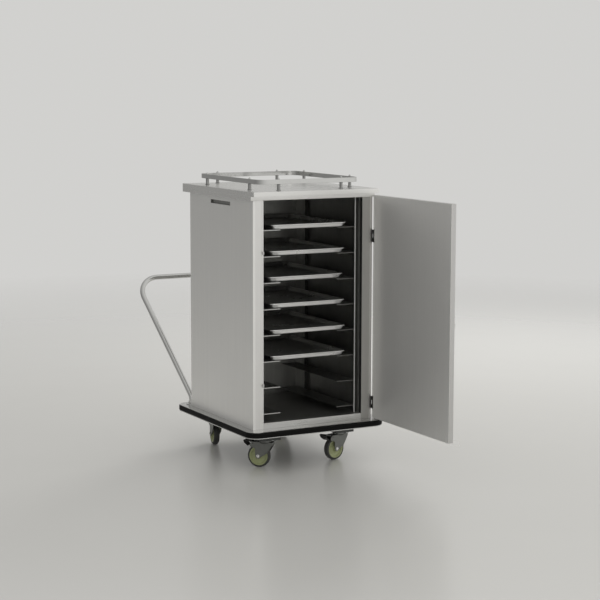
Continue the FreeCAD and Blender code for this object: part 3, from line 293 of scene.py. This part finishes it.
# painted highlight: a bright, less metallic steel for the beads along the front uprights
BEAD_PAINTED_HIGHLIGHT = brushed("upright_bead_painted_highlight", (0.72, 0.72, 0.71), rough=0.45, metallic=0.4)
# painted shade: the front edge face of the door's outer pan is darkened
DOOR_EDGE_PAINTED_SHADE = brushed("door_edge_painted_shade", (0.56, 0.555, 0.545), rough=0.36)
DECK = polished("deck_polished", (0.60, 0.60, 0.59), rough=0.16, haze=0.08)
CHANNEL = polished("channel_polished", (0.62, 0.62, 0.61), rough=0.16)
CHROME = polished("rail_polished", (0.58, 0.58, 0.57), rough=0.10)
RAIL_POST = polished("rail_post_polished", (0.30, 0.30, 0.295), rough=0.12)
TUBE = polished("handle_polished", (0.56, 0.56, 0.55), rough=0.12, haze=0.06)
SOCKET = polished("socket_polished", (0.60, 0.60, 0.59), rough=0.18)
DARK_STEEL = brushed("slot_steel", (0.30, 0.30, 0.29), rough=0.45, grain="Y")
# painted shade: the hinge steel is made nearly black for the shade at the hinges
HINGE_PAINTED_SHADE = brushed("hinge_steel", (0.022, 0.022, 0.022), rough=0.48)
PULL = polished("pull_polished", (0.66, 0.66, 0.65), rough=0.15)
SCREW = polished("screw_steel", (0.62, 0.62, 0.61), rough=0.18)
NUT = polished("nut_bright", (0.80, 0.80, 0.79), rough=0.14)
# painted shade: the caster zinc is darkened for the shade under the base
ZINC_PAINTED_SHADE = zinc("zinc_plate_painted_shade", (0.20, 0.205, 0.195), rough=0.42)
CHASSIS = zinc("chassis_zinc", (0.09, 0.092, 0.09), rough=0.46)
BUMPER = rubber("bumper_rubber", (0.004, 0.004, 0.0038), rough=0.55, scuff=0.10,
                scuff_color=(0.02, 0.02, 0.019), gloss=0.12)
TYRE = rubber("tyre_rubber", (0.050, 0.050, 0.047), rough=0.60, scuff=0.35,
              scuff_color=(0.11, 0.11, 0.10), sheen=0.05)
HUB = plastic("hub_nylon", (0.34, 0.37, 0.19), rough=0.34, dust=0.15)
PEDAL = plastic("pedal_plastic", (0.014, 0.014, 0.014), rough=0.38, dust=0.1)
CATCH = brushed("catch_steel", (0.55, 0.55, 0.54), rough=0.35)
FOAM = plastic("foam_core", (0.80, 0.72, 0.48), rough=0.85, mottle=0.15)
TRAY = pressed_aluminium("tray_aluminium", (0.70, 0.70, 0.69), metallic=1.0)
# painted light: the tray front walls are a brighter, less metallic copy of the tray aluminium
TRAY_FRONT_PAINTED_LIGHT = pressed_aluminium("tray_front_painted_light", (0.96, 0.96, 0.95), metallic=0.55)
# painted shade: the tray insides are a darker copy of the tray aluminium
TRAY_INSIDE_PAINTED_SHADE = pressed_aluminium("tray_inside_painted_shade", (0.46, 0.46, 0.445), metallic=0.78)

LOOK_OF_SLOT = {
    "panel_steel": PANEL,
    "post_steel": POST,
    "lid_steel": LID,
    "liner_steel": LINER,
    "foam": FOAM,
    "slot_steel": DARK_STEEL,
    "deck_steel": DECK,
    "channel_steel": CHANNEL,
    "bumper_rubber": BUMPER,
    "chassis_paint": CHASSIS,
    "rail_chrome": CHROME,
    "handle_steel": TUBE,
    "socket_steel": SOCKET,
    "rack_steel": RACK_PAINTED_SHADE,
    "tray_aluminium": TRAY,
    "door_steel": DOOR,
    "hinge_steel": HINGE_PAINTED_SHADE,
    "pull_steel": PULL,
    "catch_steel": CATCH,
    "zinc_steel": ZINC_PAINTED_SHADE,
    "tyre_rubber": TYRE,
    "hub_nylon": HUB,
    "pedal_plastic": PEDAL,
}
LOOK_OF_NODE = {
    "front_sill": SILL,
    "rack_uprights": UPRIGHT_PAINTED_SHADE,
    "right_front_post": HINGE_POST_PAINTED_SHADE,
    "right_side_panel": PANEL_FAR_PAINTED_SHADE,
    "back_panel": PANEL_FAR_PAINTED_SHADE,
    "guard_rail_posts": RAIL_POST,
    "door_outer_pan": DOOR_PAN_PAINTED_SHADE,
}


def look(node):
    """The material of a CAD node: its own, or its slot's."""
    return LOOK_OF_NODE.get(node) or LOOK_OF_SLOT[SLOT_OF[node]]


def dress(obj, material):
    obj.data.materials.clear()
    obj.data.materials.append(material)


for node, obj in NODES.items():
    dress(obj, look(node))

# ------------------------------------------------------------------ mesh pieces


def piece(name, bm, body, material, replaced=(), smooth_angle=35):
    """Links a finished shape as a piece that rides on a CAD body, and takes the place of the replaced nodes."""
    bmesh.ops.recalc_face_normals(bm, faces=bm.faces)
    mesh = bpy.data.meshes.new(name)
    bm.to_mesh(mesh)
    bm.free()
    obj = bpy.data.objects.new(name, mesh)
    scene.collection.objects.link(obj)
    mesh.shade_smooth()
    mesh.set_sharp_from_angle(angle=math.radians(smooth_angle))
    dress(obj, material)
    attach(obj, body)
    if replaced:
        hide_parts(*replaced)
    return obj


def soften(node, width, segments=2):
    """Replaces a CAD node with the same shape whose folded and cut edges are slightly rounded."""
    bm = bmesh.new()
    bm.from_mesh(NODES[node].data)
    bmesh.ops.remove_doubles(bm, verts=bm.verts, dist=MERGE)
    bmesh.ops.dissolve_limit(bm, angle_limit=FLAT, verts=bm.verts, edges=bm.edges)
    obj = piece(f"{node}_soft", bm, BODY_OF[node], look(node), (node,), smooth_angle=30)
    bevel = obj.modifiers.new("edge", "BEVEL")
    bevel.width = width
    bevel.segments = segments
    bevel.limit_method = "ANGLE"
    bevel.angle_limit = BENT
    bevel.harden_normals = True
    bevel.use_clamp_overlap = True
    return obj


def two_tone(obj, material, test):
    """Gives the faces that pass a test on (centre, normal) another material."""
    obj.data.materials.append(material)
    for face in obj.data.polygons:
        if test(face.center, face.normal):
            face.material_index = len(obj.data.materials) - 1


def faces_front(centre, normal):
    return normal.y < -0.9


def islands(node):
    """The box of each separate solid of a CAD node, as (low, high)."""
    bm = bmesh.new()
    bm.from_mesh(NODES[node].data)
    bmesh.ops.remove_doubles(bm, verts=bm.verts, dist=MERGE)
    seen = set()
    boxes = []
    for start in bm.verts:
        if start in seen:
            continue
        seen.add(start)
        stack = [start]
        low, high = start.co.copy(), start.co.copy()
        while stack:
            vert = stack.pop()
            for i in range(3):
                low[i] = min(low[i], vert.co[i])
                high[i] = max(high[i], vert.co[i])
            for edge in vert.link_edges:
                other = edge.other_vert(vert)
                if other not in seen:
                    seen.add(other)
                    stack.append(other)
        boxes.append((low, high))
    bm.free()
    return boxes


def rounded_loop(half_x, half_y, radius, steps):
    """Points around a rounded rectangle, counter-clockwise, as (x, y)."""
    points = []
    for i, (sx, sy) in enumerate(((1, 1), (-1, 1), (-1, -1), (1, -1))):
        cx, cy = sx * (half_x - radius), sy * (half_y - radius)
        for k in range(steps + 1):
            a = math.radians(90 * i + 90 * k / steps)
            points.append((cx + radius * math.cos(a), cy + radius * math.sin(a)))
    return points


def bridge_loops(bm, loops, closed=False):
    """Faces between loops of vertices of equal count; closed joins the last loop to the first."""
    count = len(loops[0])
    pairs = list(zip(loops, loops[1:]))
    if closed:
        pairs.append((loops[-1], loops[0]))
    for low, high in pairs:
        for i in range(count):
            j = (i + 1) % count
            bm.faces.new((low[i], low[j], high[j], high[i]))


def ring_piece(name, centre, half_x, half_y, radius, profile, body, material, replaced, steps):
    """A closed section, given as (inset from the outline, height), swept round a rounded rectangle."""
    bm = bmesh.new()
    loops = []
    for inset, z in profile:
        outline = rounded_loop(half_x - inset, half_y - inset, radius - inset, steps)
        loops.append([bm.verts.new((centre[0] + x, centre[1] + y, z)) for x, y in outline])
    bridge_loops(bm, loops, closed=True)
    return piece(name, bm, body, material, replaced)


def turn(bm, profile, centre, axis, steps, closed=False):
    """Adds a section of (distance along the axis, radius), turned round the axis; radius 0 gives a single point."""
    axis = Vector(axis).normalized()
    side = axis.orthogonal().normalized()
    other = axis.cross(side)
    centre = Vector(centre)
    rings = []
    for along, radius in profile:
        if radius == 0.0:
            rings.append([bm.verts.new(centre + axis * along)])
            continue
        ring = []
        for k in range(steps):
            a = 2 * math.pi * k / steps
            out = side * math.cos(a) + other * math.sin(a)
            ring.append(bm.verts.new(centre + axis * along + out * radius))
        rings.append(ring)
    pairs = list(zip(rings, rings[1:]))
    if closed:
        pairs.append((rings[-1], rings[0]))
    for a, b in pairs:
        for k in range(steps):
            j = (k + 1) % steps
            corners = [a[k % len(a)], a[j % len(a)], b[j % len(b)], b[k % len(b)]]
            unique = []
            for v in corners:
                if v not in unique:
                    unique.append(v)
            if len(unique) >= 3:
                bm.faces.new(unique)


def turned(name, profile, centre, axis, body, material, steps, replaced=()):
    """A closed section turned round the axis, as a piece of its own."""
    bm = bmesh.new()
    turn(bm, profile, centre, axis, steps, closed=True)
    return piece(name, bm, body, material, replaced)


def screw_heads(name, places, axis, head, body, material):
    """Pan heads with a dimple in the middle, one mesh for the whole set; head is (radius, height)."""
    bm = bmesh.new()
    radius, height = head
    profile = ((-0.0002, radius), (height * 0.35, radius), (height * 0.8, radius * 0.8), (height, radius * 0.45),
               (height, radius * 0.22), (height * 0.4, radius * 0.10), (height * 0.4, 0.0))
    for place in places:
        turn(bm, profile, place, axis, steps=20)
    return piece(name, bm, body, material)


# ------------------------------------------------------------------ sheet metal

# widths of the rounded folds and cut edges
THIN_FOLD, POST_FOLD, SHEET_FOLD, PULL_FOLD = 0.0004, 0.0005, 0.0006, 0.0008
PLATE_FOLD, BAR_FOLD, LID_FOLD = 0.0010, 0.0012, 0.0014

for node in ("left_side_panel", "right_side_panel", "back_panel"):
    soften(node, SHEET_FOLD)
for node in ("left_front_post", "front_sill", "front_header"):
    soften(node, POST_FOLD)
# the inner side of the hinge-side post gets the near-black painted shade
two_tone(soften("right_front_post", POST_FOLD), RETURN_PAINTED_SHADE, lambda centre, normal: normal.x < -0.7)
# the lid's front faces take the darker copy, partly painted shade
two_tone(soften("top_lid", LID_FOLD, segments=3), LID_FRONT_GRAIN_AND_SHADE, lambda centre, normal: normal.y < -0.7)
# the front ends of the slides take the painted highlight on the left and the painted shade on the right
for node, edge in (("left_tray_slides", SLIDE_FRONT_PAINTED_HIGHLIGHT), ("right_tray_slides", SLIDE_FRONT_PAINTED_SHADE)):
    two_tone(soften(node, POST_FOLD), edge, faces_front)
# the front faces of the uprights get the near-black painted shade
two_tone(soften("rack_uprights", POST_FOLD), RETURN_PAINTED_SHADE, faces_front)

# a flat bead along the inner edge of the two front uprights, in a bright, less metallic finish that is a painted
# highlight
BEAD_WIDTH, BEAD_PROUD = 0.0055, 0.0011
edges = bmesh.new()
for low, high in islands("rack_uprights"):
    if low.y > 0:
        continue
    inner = high.x if low.x < 0 else low.x
    outer = inner + math.copysign(BEAD_WIDTH, inner)
    face = low.y - BEAD_PROUD
    corners = []
    for z in (low.z, high.z):
        for x, y in ((inner, low.y), (inner, face), (outer, face), (outer, low.y)):
            corners.append(edges.verts.new((x, y, z)))
    for k in range(4):
        j = (k + 1) % 4
        edges.faces.new((corners[k], corners[j], corners[4 + j], corners[4 + k]))
    edges.faces.new(corners[:4])
    edges.faces.new(corners[4:])
piece("upright_front_beads", edges, "frame", BEAD_PAINTED_HIGHLIGHT)

# rail, base, door and hinges
soften("guard_rail", BAR_FOLD, segments=3)
soften("base_pan", SHEET_FOLD)
soften("chassis_rails", PLATE_FOLD)
soften("caster_top_plates", PLATE_FOLD)
# the door's front edge faces take the painted shade
two_tone(soften("door_outer_pan", SHEET_FOLD), DOOR_EDGE_PAINTED_SHADE, faces_front)
soften("door_inner_sheet", THIN_FOLD)
soften("door_pull", PULL_FOLD, segments=3)
soften("hinge_frame_leaves", THIN_FOLD)
soften("hinge_door_leaves", THIN_FOLD)
soften("magnetic_catches", BAR_FOLD)

# ------------------------------------------------------------------ trays, bumper, casters

# sheet trays with a rolled rim; the section runs up the outside, over the rim and down the inside
TRAY_FLARE, TRAY_SKIN = 0.014, 0.0015
TRAY_CORNER, CORNER_TAPER = 0.035, 0.55
RIM_WIDTH, FRONT_DEPTH = 0.0075, 0.016
TRAYS = 6
for i in range(1, TRAYS + 1):
    low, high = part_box(f"tray_{i}")
    centre = (low + high) / 2
    half_x, half_y = (high.x - low.x) / 2, (high.y - low.y) / 2
    z0, z1 = low.z, high.z
    section = [
        (TRAY_FLARE + 0.014, z0),
        (TRAY_FLARE + 0.004, z0 + 0.0004),
        (TRAY_FLARE + 0.0008, z0 + 0.0024),
        (TRAY_FLARE - 0.0012, z0 + 0.0060),
        (0.0072, z1 - 0.0076),
        (0.0062, z1 - 0.0060),
        (0.0034, z1 - 0.0062),
        (0.0010, z1 - 0.0048),
        (0.0, z1 - 0.0030),
        (0.0008, z1 - 0.0011),
        (0.0030, z1),
        (0.0056, z1 - 0.0006),
        (0.0078, z1 - 0.0030),
        (0.0090, z1 - 0.0080),
        (TRAY_FLARE + 0.0004, z0 + 0.0066),
        (TRAY_FLARE + 0.0026, z0 + 0.0034),
        (TRAY_FLARE + 0.0058, z0 + 0.0019),
        (TRAY_FLARE + 0.014, z0 + TRAY_SKIN),
    ]
    bm = bmesh.new()
    loops = []
    for inset, z in section:
        radius = TRAY_CORNER - inset * CORNER_TAPER
        points = rounded_loop(half_x - inset, half_y - inset, radius, steps=10)
        loops.append([bm.verts.new((centre.x + x, centre.y + y, z)) for x, y in points])
    bridge_loops(bm, loops)
    bm.faces.new(loops[0])
    bm.faces.new(loops[-1])
    pan = piece(f"tray_pan_{i}", bm, BODY_OF[f"tray_{i}"], TRAY, (f"tray_{i}",))
    inside_x, inside_y = half_x - RIM_WIDTH, half_y - RIM_WIDTH
    # the upward faces inside the rim get the painted shade
    two_tone(pan, TRAY_INSIDE_PAINTED_SHADE, lambda at, normal: normal.z > 0.02 and abs(at.x - centre.x) < inside_x
             and abs(at.y - centre.y) < inside_y)
    # the front walls get the painted light
    two_tone(pan, TRAY_FRONT_PAINTED_LIGHT, lambda at, normal: normal.y < -0.3 and at.y < low.y + FRONT_DEPTH)

# rubber strip with two grooves, held by a channel whose lower lip stands a little below it
BUMPER_CORNER, LIP = 0.070, 0.0044
low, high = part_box("bumper_strip")
centre = (low + high) / 2
half_x, half_y = (high.x - low.x) / 2, (high.y - low.y) / 2
channel_low, channel_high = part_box("bumper_channel")
foot = channel_low.z + LIP
mid, half_z = (foot + high.z) / 2, (high.z - foot) / 2
bottom, crown = mid - half_z, mid + half_z
strip = [
    (0.0138, bottom), (0.0030, bottom), (0.0010, bottom + 0.0010), (0.0002, bottom + 0.0034),
    (0.0, mid - 0.0060), (0.0014, mid - 0.0050), (0.0014, mid - 0.0036), (0.0, mid - 0.0026),
    (0.0, mid + 0.0026), (0.0014, mid + 0.0036), (0.0014, mid + 0.0050), (0.0, mid + 0.0060),
    (0.0004, crown - 0.0040), (0.0018, crown - 0.0012), (0.0050, crown), (0.0138, crown),
]
ring_piece("bumper_extrusion", centre, half_x, half_y, BUMPER_CORNER, strip, "frame", BUMPER,
           ("bumper_strip",), steps=16)
z0, z1 = channel_low.z, channel_high.z
channel = [
    (0.0152, z0), (0.0022, z0), (0.0014, z0 + 0.0008), (0.0014, foot - 0.0010), (0.0020, foot - 0.0002),
    (0.0139, foot - 0.0001), (0.0139, z1 - 0.0012), (0.0042, z1 - 0.0012), (0.0040, z1 - 0.0004), (0.0046, z1),
    (0.0152, z1),
]
ring_piece("bumper_track", centre, half_x, half_y, BUMPER_CORNER, channel, "frame", CHANNEL,
           ("bumper_channel",), steps=16)

# casters; each section is (distance along the axle, radius)
TREAD = [
    (-0.0165, 0.0520), (-0.0165, 0.0562), (-0.0148, 0.0592), (-0.0118, 0.0612), (-0.0060, 0.06225),
    (0.0, 0.0625), (0.0060, 0.06225), (0.0118, 0.0612), (0.0148, 0.0592), (0.0165, 0.0562), (0.0165, 0.0520),
]
DISH = [
    (-0.0214, 0.00605), (0.0214, 0.00605), (0.0214, 0.0128), (0.0206, 0.0138), (0.0082, 0.0162),
    (0.0068, 0.0185), (0.0056, 0.0380), (0.0068, 0.0415), (0.0142, 0.0455), (0.0154, 0.0470),
    (0.0154, 0.0515), (0.0146, 0.0520), (-0.0146, 0.0520), (-0.0154, 0.0515), (-0.0154, 0.0470),
    (-0.0142, 0.0455), (-0.0068, 0.0415), (-0.0056, 0.0380), (-0.0068, 0.0185), (-0.0082, 0.0162),
    (-0.0206, 0.0138), (-0.0214, 0.0128),
]
AXLE = [(-0.026, 0.0), (-0.026, 0.006), (0.026, 0.006), (0.026, 0.0)]
WASHER = [(0.0255, 0.0), (0.0255, 0.0090), (0.0272, 0.0090), (0.0272, 0.0)]
AXLE_NUT = [(0.0271, 0.0), (0.0271, 0.0074), (0.0306, 0.0074), (0.0314, 0.0064), (0.0314, 0.0)]
BOLT_TIP = [(0.0313, 0.0), (0.0313, 0.0054), (0.0321, 0.0050), (0.0328, 0.0038), (0.0332, 0.0)]
for corner in CORNERS:
    joint = JOINTS[f"wheel_{corner}_spin"]
    axle_at, axle_axis = Vector(joint["pos_m"]), Vector(joint["axis"]).normalized()
    wheel_body, fork_body = f"wheel_{corner}", f"swivel_{corner}"
    turned(f"tyre_{corner}_tread", TREAD, axle_at, axle_axis, wheel_body, TYRE, steps=96,
           replaced=(f"tyre_{corner}",))
    turned(f"hub_{corner}_dish", DISH, axle_at, axle_axis, wheel_body, HUB, steps=72,
           replaced=(f"hub_{corner}",))
    soften(f"fork_{corner}", BAR_FOLD, segments=3)
    bolt = bmesh.new()
    turn(bolt, AXLE, axle_at, axle_axis, steps=48)
    for side in (-1, 1):
        for section, steps in ((WASHER, 32), (AXLE_NUT, 6), (BOLT_TIP, 24)):
            turn(bolt, section, axle_at, axle_axis * side, steps)
    piece(f"axle_{corner}_bolt", bolt, fork_body, NUT, (f"axle_{corner}",))
    soften(f"brake_pedal_{corner}", PLATE_FOLD, segments=3)

# ------------------------------------------------------------------ fittings and screws

# radius and height of each kind of screw head
FRAME_HEAD, DOOR_HEAD = (0.0042, 0.0016), (0.0040, 0.0014)
FLANGE_HEAD, RIVET_HEAD, PULL_HEAD = (0.0040, 0.0018), (0.0034, 0.0012), (0.0040, 0.0016)

# guard rail: rosettes on the lid, collars under the bar and acorn nuts on it
FLANGE = [(0.0, 0.0), (0.0, 0.0135), (0.0012, 0.0135), (0.0024, 0.0118), (0.0030, 0.0090), (0.0030, 0.0)]
COLLAR = [(0.0, 0.0), (0.0, 0.0102), (0.0016, 0.0102), (0.0024, 0.0094), (0.0024, 0.0)]
HEXAGON = [(0.0, 0.0), (0.0, 0.0066), (0.0030, 0.0066), (0.0036, 0.0058), (0.0036, 0.0)]
DOME = [(0.0035, 0.0), (0.0035, 0.0054), (0.0056, 0.0050), (0.0074, 0.0036), (0.0083, 0.0016), (0.0085, 0.0)]
rosettes = bmesh.new()
for low, high in islands("guard_rail_posts"):
    centre = (low + high) / 2
    turn(rosettes, FLANGE, (centre.x, centre.y, low.z), UP, steps=32)
    turn(rosettes, COLLAR, (centre.x, centre.y, high.z), DOWN, steps=32)
piece("rail_rosettes", rosettes, "frame", RAIL_POST)
acorns = bmesh.new()
for low, high in islands("guard_rail_nuts"):
    centre = (low + high) / 2
    foot = (centre.x, centre.y, low.z)
    turn(acorns, HEXAGON, foot, UP, steps=6)
    turn(acorns, DOME, foot, UP, steps=24)
piece("rail_acorn_nuts", acorns, "frame", CHROME, ("guard_rail_nuts",))

# hinge screws, three to a leaf, set in from the leaf's edge
LEAF_THICK, SCREW_PITCH = 0.0015, 0.024
FRAME_INSET, DOOR_INSET = 0.013, 0.006
_, cabinet_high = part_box("right_side_panel")
places = []
for low, high in islands("hinge_frame_leaves"):
    middle = (low.z + high.z) / 2
    places += [(cabinet_high.x + LEAF_THICK, high.y - FRAME_INSET, middle + SCREW_PITCH * k) for k in (-1, 0, 1)]
screw_heads("hinge_frame_screws", places, OUT_RIGHT, FRAME_HEAD, "frame", SCREW)
places = []
for low, high in islands("hinge_door_leaves"):
    middle = (low.z + high.z) / 2
    places += [(high.x - DOOR_INSET, low.y + LEAF_THICK, middle + SCREW_PITCH * k) for k in (-1, 0, 1)]
screw_heads("hinge_door_screws", places, OUT_BACK, DOOR_HEAD, "door", SCREW)

# push handle: weld beads over the sockets and screws through their flanges
WELD = [(-0.0004, 0.0146), (-0.0004, 0.0176), (0.0012, 0.0170), (0.0024, 0.0154), (0.0026, 0.0146)]
SCREW_CIRCLE, FLANGE_THICK = 0.0245, 0.004
beads = bmesh.new()
places = []
for low, high in islands("handle_sockets"):
    centre = (low + high) / 2
    turn(beads, WELD, (centre.x, centre.y, high.z), UP, steps=40, closed=True)
    for k in range(3):
        a = math.radians(90 + 120 * k)
        along_x, along_y = SCREW_CIRCLE * math.cos(a), SCREW_CIRCLE * math.sin(a)
        places.append((centre.x + along_x, centre.y + along_y, low.z + FLANGE_THICK))
piece("handle_weld_beads", beads, "frame", SOCKET)
screw_heads("handle_flange_screws", places, UP, FLANGE_HEAD, "frame", SCREW)

# rivets round the back sheet: two columns of nine and two rows of six, set in from its edges
COLUMN_INSET, COLUMN_MARGIN, ROW_MARGIN = 0.012, 0.06, 0.10
ROW_ABOVE_FOOT, ROW_BELOW_TOP = 0.014, 0.060
low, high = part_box("back_panel")
column_step = (high.z - low.z - 2 * COLUMN_MARGIN) / 8
row_step = (high.x - low.x - 2 * ROW_MARGIN) / 5
places = []
for x in (low.x + COLUMN_INSET, high.x - COLUMN_INSET):
    places += [(x, high.y, low.z + COLUMN_MARGIN + k * column_step) for k in range(9)]
for z in (low.z + ROW_ABOVE_FOOT, high.z - ROW_BELOW_TOP):
    places += [(low.x + ROW_MARGIN + k * row_step, high.y, z) for k in range(6)]
screw_heads("back_panel_rivets", places, OUT_BACK, RIVET_HEAD, "frame", SCREW)

# screws through the two feet of the door pull
PULL_STRAP, PULL_INSET = 0.003, 0.007
low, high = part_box("door_pull")
middle = (low.z + high.z) / 2
places = [(low.x + PULL_STRAP, y, middle) for y in (low.y + PULL_INSET, high.y - PULL_INSET)]
screw_heads("pull_screws", places, OUT_RIGHT, PULL_HEAD, "door", SCREW)

# swivel heads: a rounded dust ring over each fork, given by its height above the floor
DUST_RING = [
    (0.1330, 0.0200), (0.1330, 0.0310), (0.1345, 0.0335), (0.1375, 0.0345), (0.1395, 0.0335), (0.1399, 0.0310),
    (0.1399, 0.0200),
]
for corner in CORNERS:
    x, y, _ = JOINTS[f"swivel_{corner}_turn"]["pos_m"]
    turned(f"swivel_{corner}_ring", DUST_RING, (x, y, 0.0), UP, f"swivel_{corner}", ZINC_PAINTED_SHADE, steps=56)

# ------------------------------------------------------------------ camera, floor and light

# solved from the edges of the cabinet, lid, base and door; the focal length is in pixels of the picture's width
YAW, PITCH, ROLL = 0.49734655, 0.13055153, 0.00211291
FOCAL, PICTURE_WIDTH, SENSOR = 1656.459, 600.0, 36.0
# its place from the front left corner of the cabinet, at floor level; the side panel's hem stands HEM before it
FROM_CORNER = Vector((-3.8654, -7.6350, 2.0518))
HEM = 0.0012
ahead = Vector((math.sin(YAW) * math.cos(PITCH), math.cos(YAW) * math.cos(PITCH), -math.sin(PITCH)))
across = Vector((math.cos(YAW), -math.sin(YAW), 0.0))
upward = across.cross(ahead)
right = across * math.cos(ROLL) + upward * math.sin(ROLL)
top = upward * math.cos(ROLL) - across * math.sin(ROLL)
camera_data = bpy.data.cameras.new("camera")
camera_data.lens = FOCAL * SENSOR / PICTURE_WIDTH
camera_data.sensor_width = SENSOR
camera_data.clip_end = 100.0
camera = bpy.data.objects.new("camera", camera_data)
scene.collection.objects.link(camera)
cabinet_low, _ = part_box("left_side_panel")
place = Vector((cabinet_low.x, cabinet_low.y + HEM, 0.0)) + FROM_CORNER
camera.matrix_world = Matrix((
    (right.x, top.x, -ahead.x, place.x),
    (right.y, top.y, -ahead.y, place.y),
    (right.z, top.z, -ahead.z, place.z),
    (0, 0, 0, 1),
))
scene.camera = camera

# pale floor that fades into the backdrop between two distances from the trolley
FADE_FROM, FADE_TO, SPAN = 2.2, 9.0, 30.0
floor_shader = Shader("floor_resin")
tone = floor_shader.spread(floor_shader.noise(0.9, detail=5.0), 0.1, 0.9)
floor_shader.set("Base Color", floor_shader.mix(tone, (0.67, 0.665, 0.645), (0.685, 0.68, 0.66)))
floor_shader.set("Specular IOR Level", 0.4)
floor_shader.set("Roughness", floor_shader.spread(floor_shader.noise(1.4, detail=2.0), 0.1, 0.9, 0.25, 0.28))
distance = floor_shader.add("ShaderNodeVectorMath", operation="LENGTH")
floor_shader.link(floor_shader.coords.outputs["Object"], distance.inputs[0])
edge_fade = floor_shader.spread(distance.outputs["Value"], FADE_FROM, FADE_TO)
clear = floor_shader.add("ShaderNodeBsdfTransparent")
blend = floor_shader.add("ShaderNodeMixShader")
floor_shader.link(edge_fade, blend.inputs[0])
floor_shader.link(floor_shader.bsdf.outputs[0], blend.inputs[1])
floor_shader.link(clear.outputs[0], blend.inputs[2])
floor_shader.link(blend.outputs[0], floor_shader.tree.nodes["Material Output"].inputs["Surface"])
floor_mesh = bpy.data.meshes.new("floor")
corners = [(-SPAN, -SPAN, 0), (SPAN, -SPAN, 0), (SPAN, SPAN, 0), (-SPAN, SPAN, 0)]
floor_mesh.from_pydata(corners, [], [(0, 1, 2, 3)])
floor = bpy.data.objects.new("floor", floor_mesh)
scene.collection.objects.link(floor)
dress(floor, floor_shader.material)

# even backdrop for the camera; for everything else the light grows towards BRIGHT_SIDE
BACKDROP = 0.64
AMBIENT_LOW, AMBIENT_HIGH = 0.28, 0.92
BRIGHT_SIDE = (0.68, -0.64, 0.36)
world = bpy.data.worlds.new("studio")
scene.world = world
world.use_nodes = True
tree = world.node_tree
background = tree.nodes["Background"]
background.inputs["Color"].default_value = (1.0, 0.994, 0.97, 1.0)
coords = tree.nodes.new("ShaderNodeTexCoord")
dot = tree.nodes.new("ShaderNodeVectorMath")
dot.operation = "DOT_PRODUCT"
dot.inputs[1].default_value = BRIGHT_SIDE
tree.links.new(coords.outputs["Generated"], dot.inputs[0])
ramp = tree.nodes.new("ShaderNodeMapRange")
for socket, value in (("From Min", -1.0), ("From Max", 1.0), ("To Min", AMBIENT_LOW), ("To Max", AMBIENT_HIGH)):
    ramp.inputs[socket].default_value = value
tree.links.new(dot.outputs["Value"], ramp.inputs["Value"])
plain = tree.nodes.new("ShaderNodeMix")
plain.data_type = "FLOAT"
path = tree.nodes.new("ShaderNodeLightPath")
tree.links.new(path.outputs["Is Camera Ray"], plain.inputs[0])
tree.links.new(ramp.outputs["Result"], plain.inputs[2])
plain.inputs[3].default_value = BACKDROP
tree.links.new(plain.outputs[0], background.inputs["Strength"])


def area_light(name, at, towards, width, height, power):
    """A warm rectangular lamp that looks at a point."""
    data = bpy.data.lights.new(name, "AREA")
    data.shape = "RECTANGLE"
    data.size = width
    data.size_y = height
    data.energy = power
    data.color = (1.0, 0.99, 0.97)
    lamp = bpy.data.objects.new(name, data)
    scene.collection.objects.link(lamp)
    lamp.location = at
    lamp.rotation_euler = (Vector(towards) - Vector(at)).to_track_quat("-Z", "Y").to_euler()
    return lamp


# the window behind on the right casts the soft shadow; the fill keeps the front from going dark
window = area_light("window", at=(4.5, 3.2, 3.6), towards=(0.0, 0.0, 0.6), width=2.2, height=2.6, power=110.0)
window.visible_glossy = False
area_light("fill", at=(-1.5, -6.0, 3.6), towards=(0.0, 0.0, 0.8), width=4.0, height=3.0, power=40.0)
scene.view_settings.view_transform = "Standard"
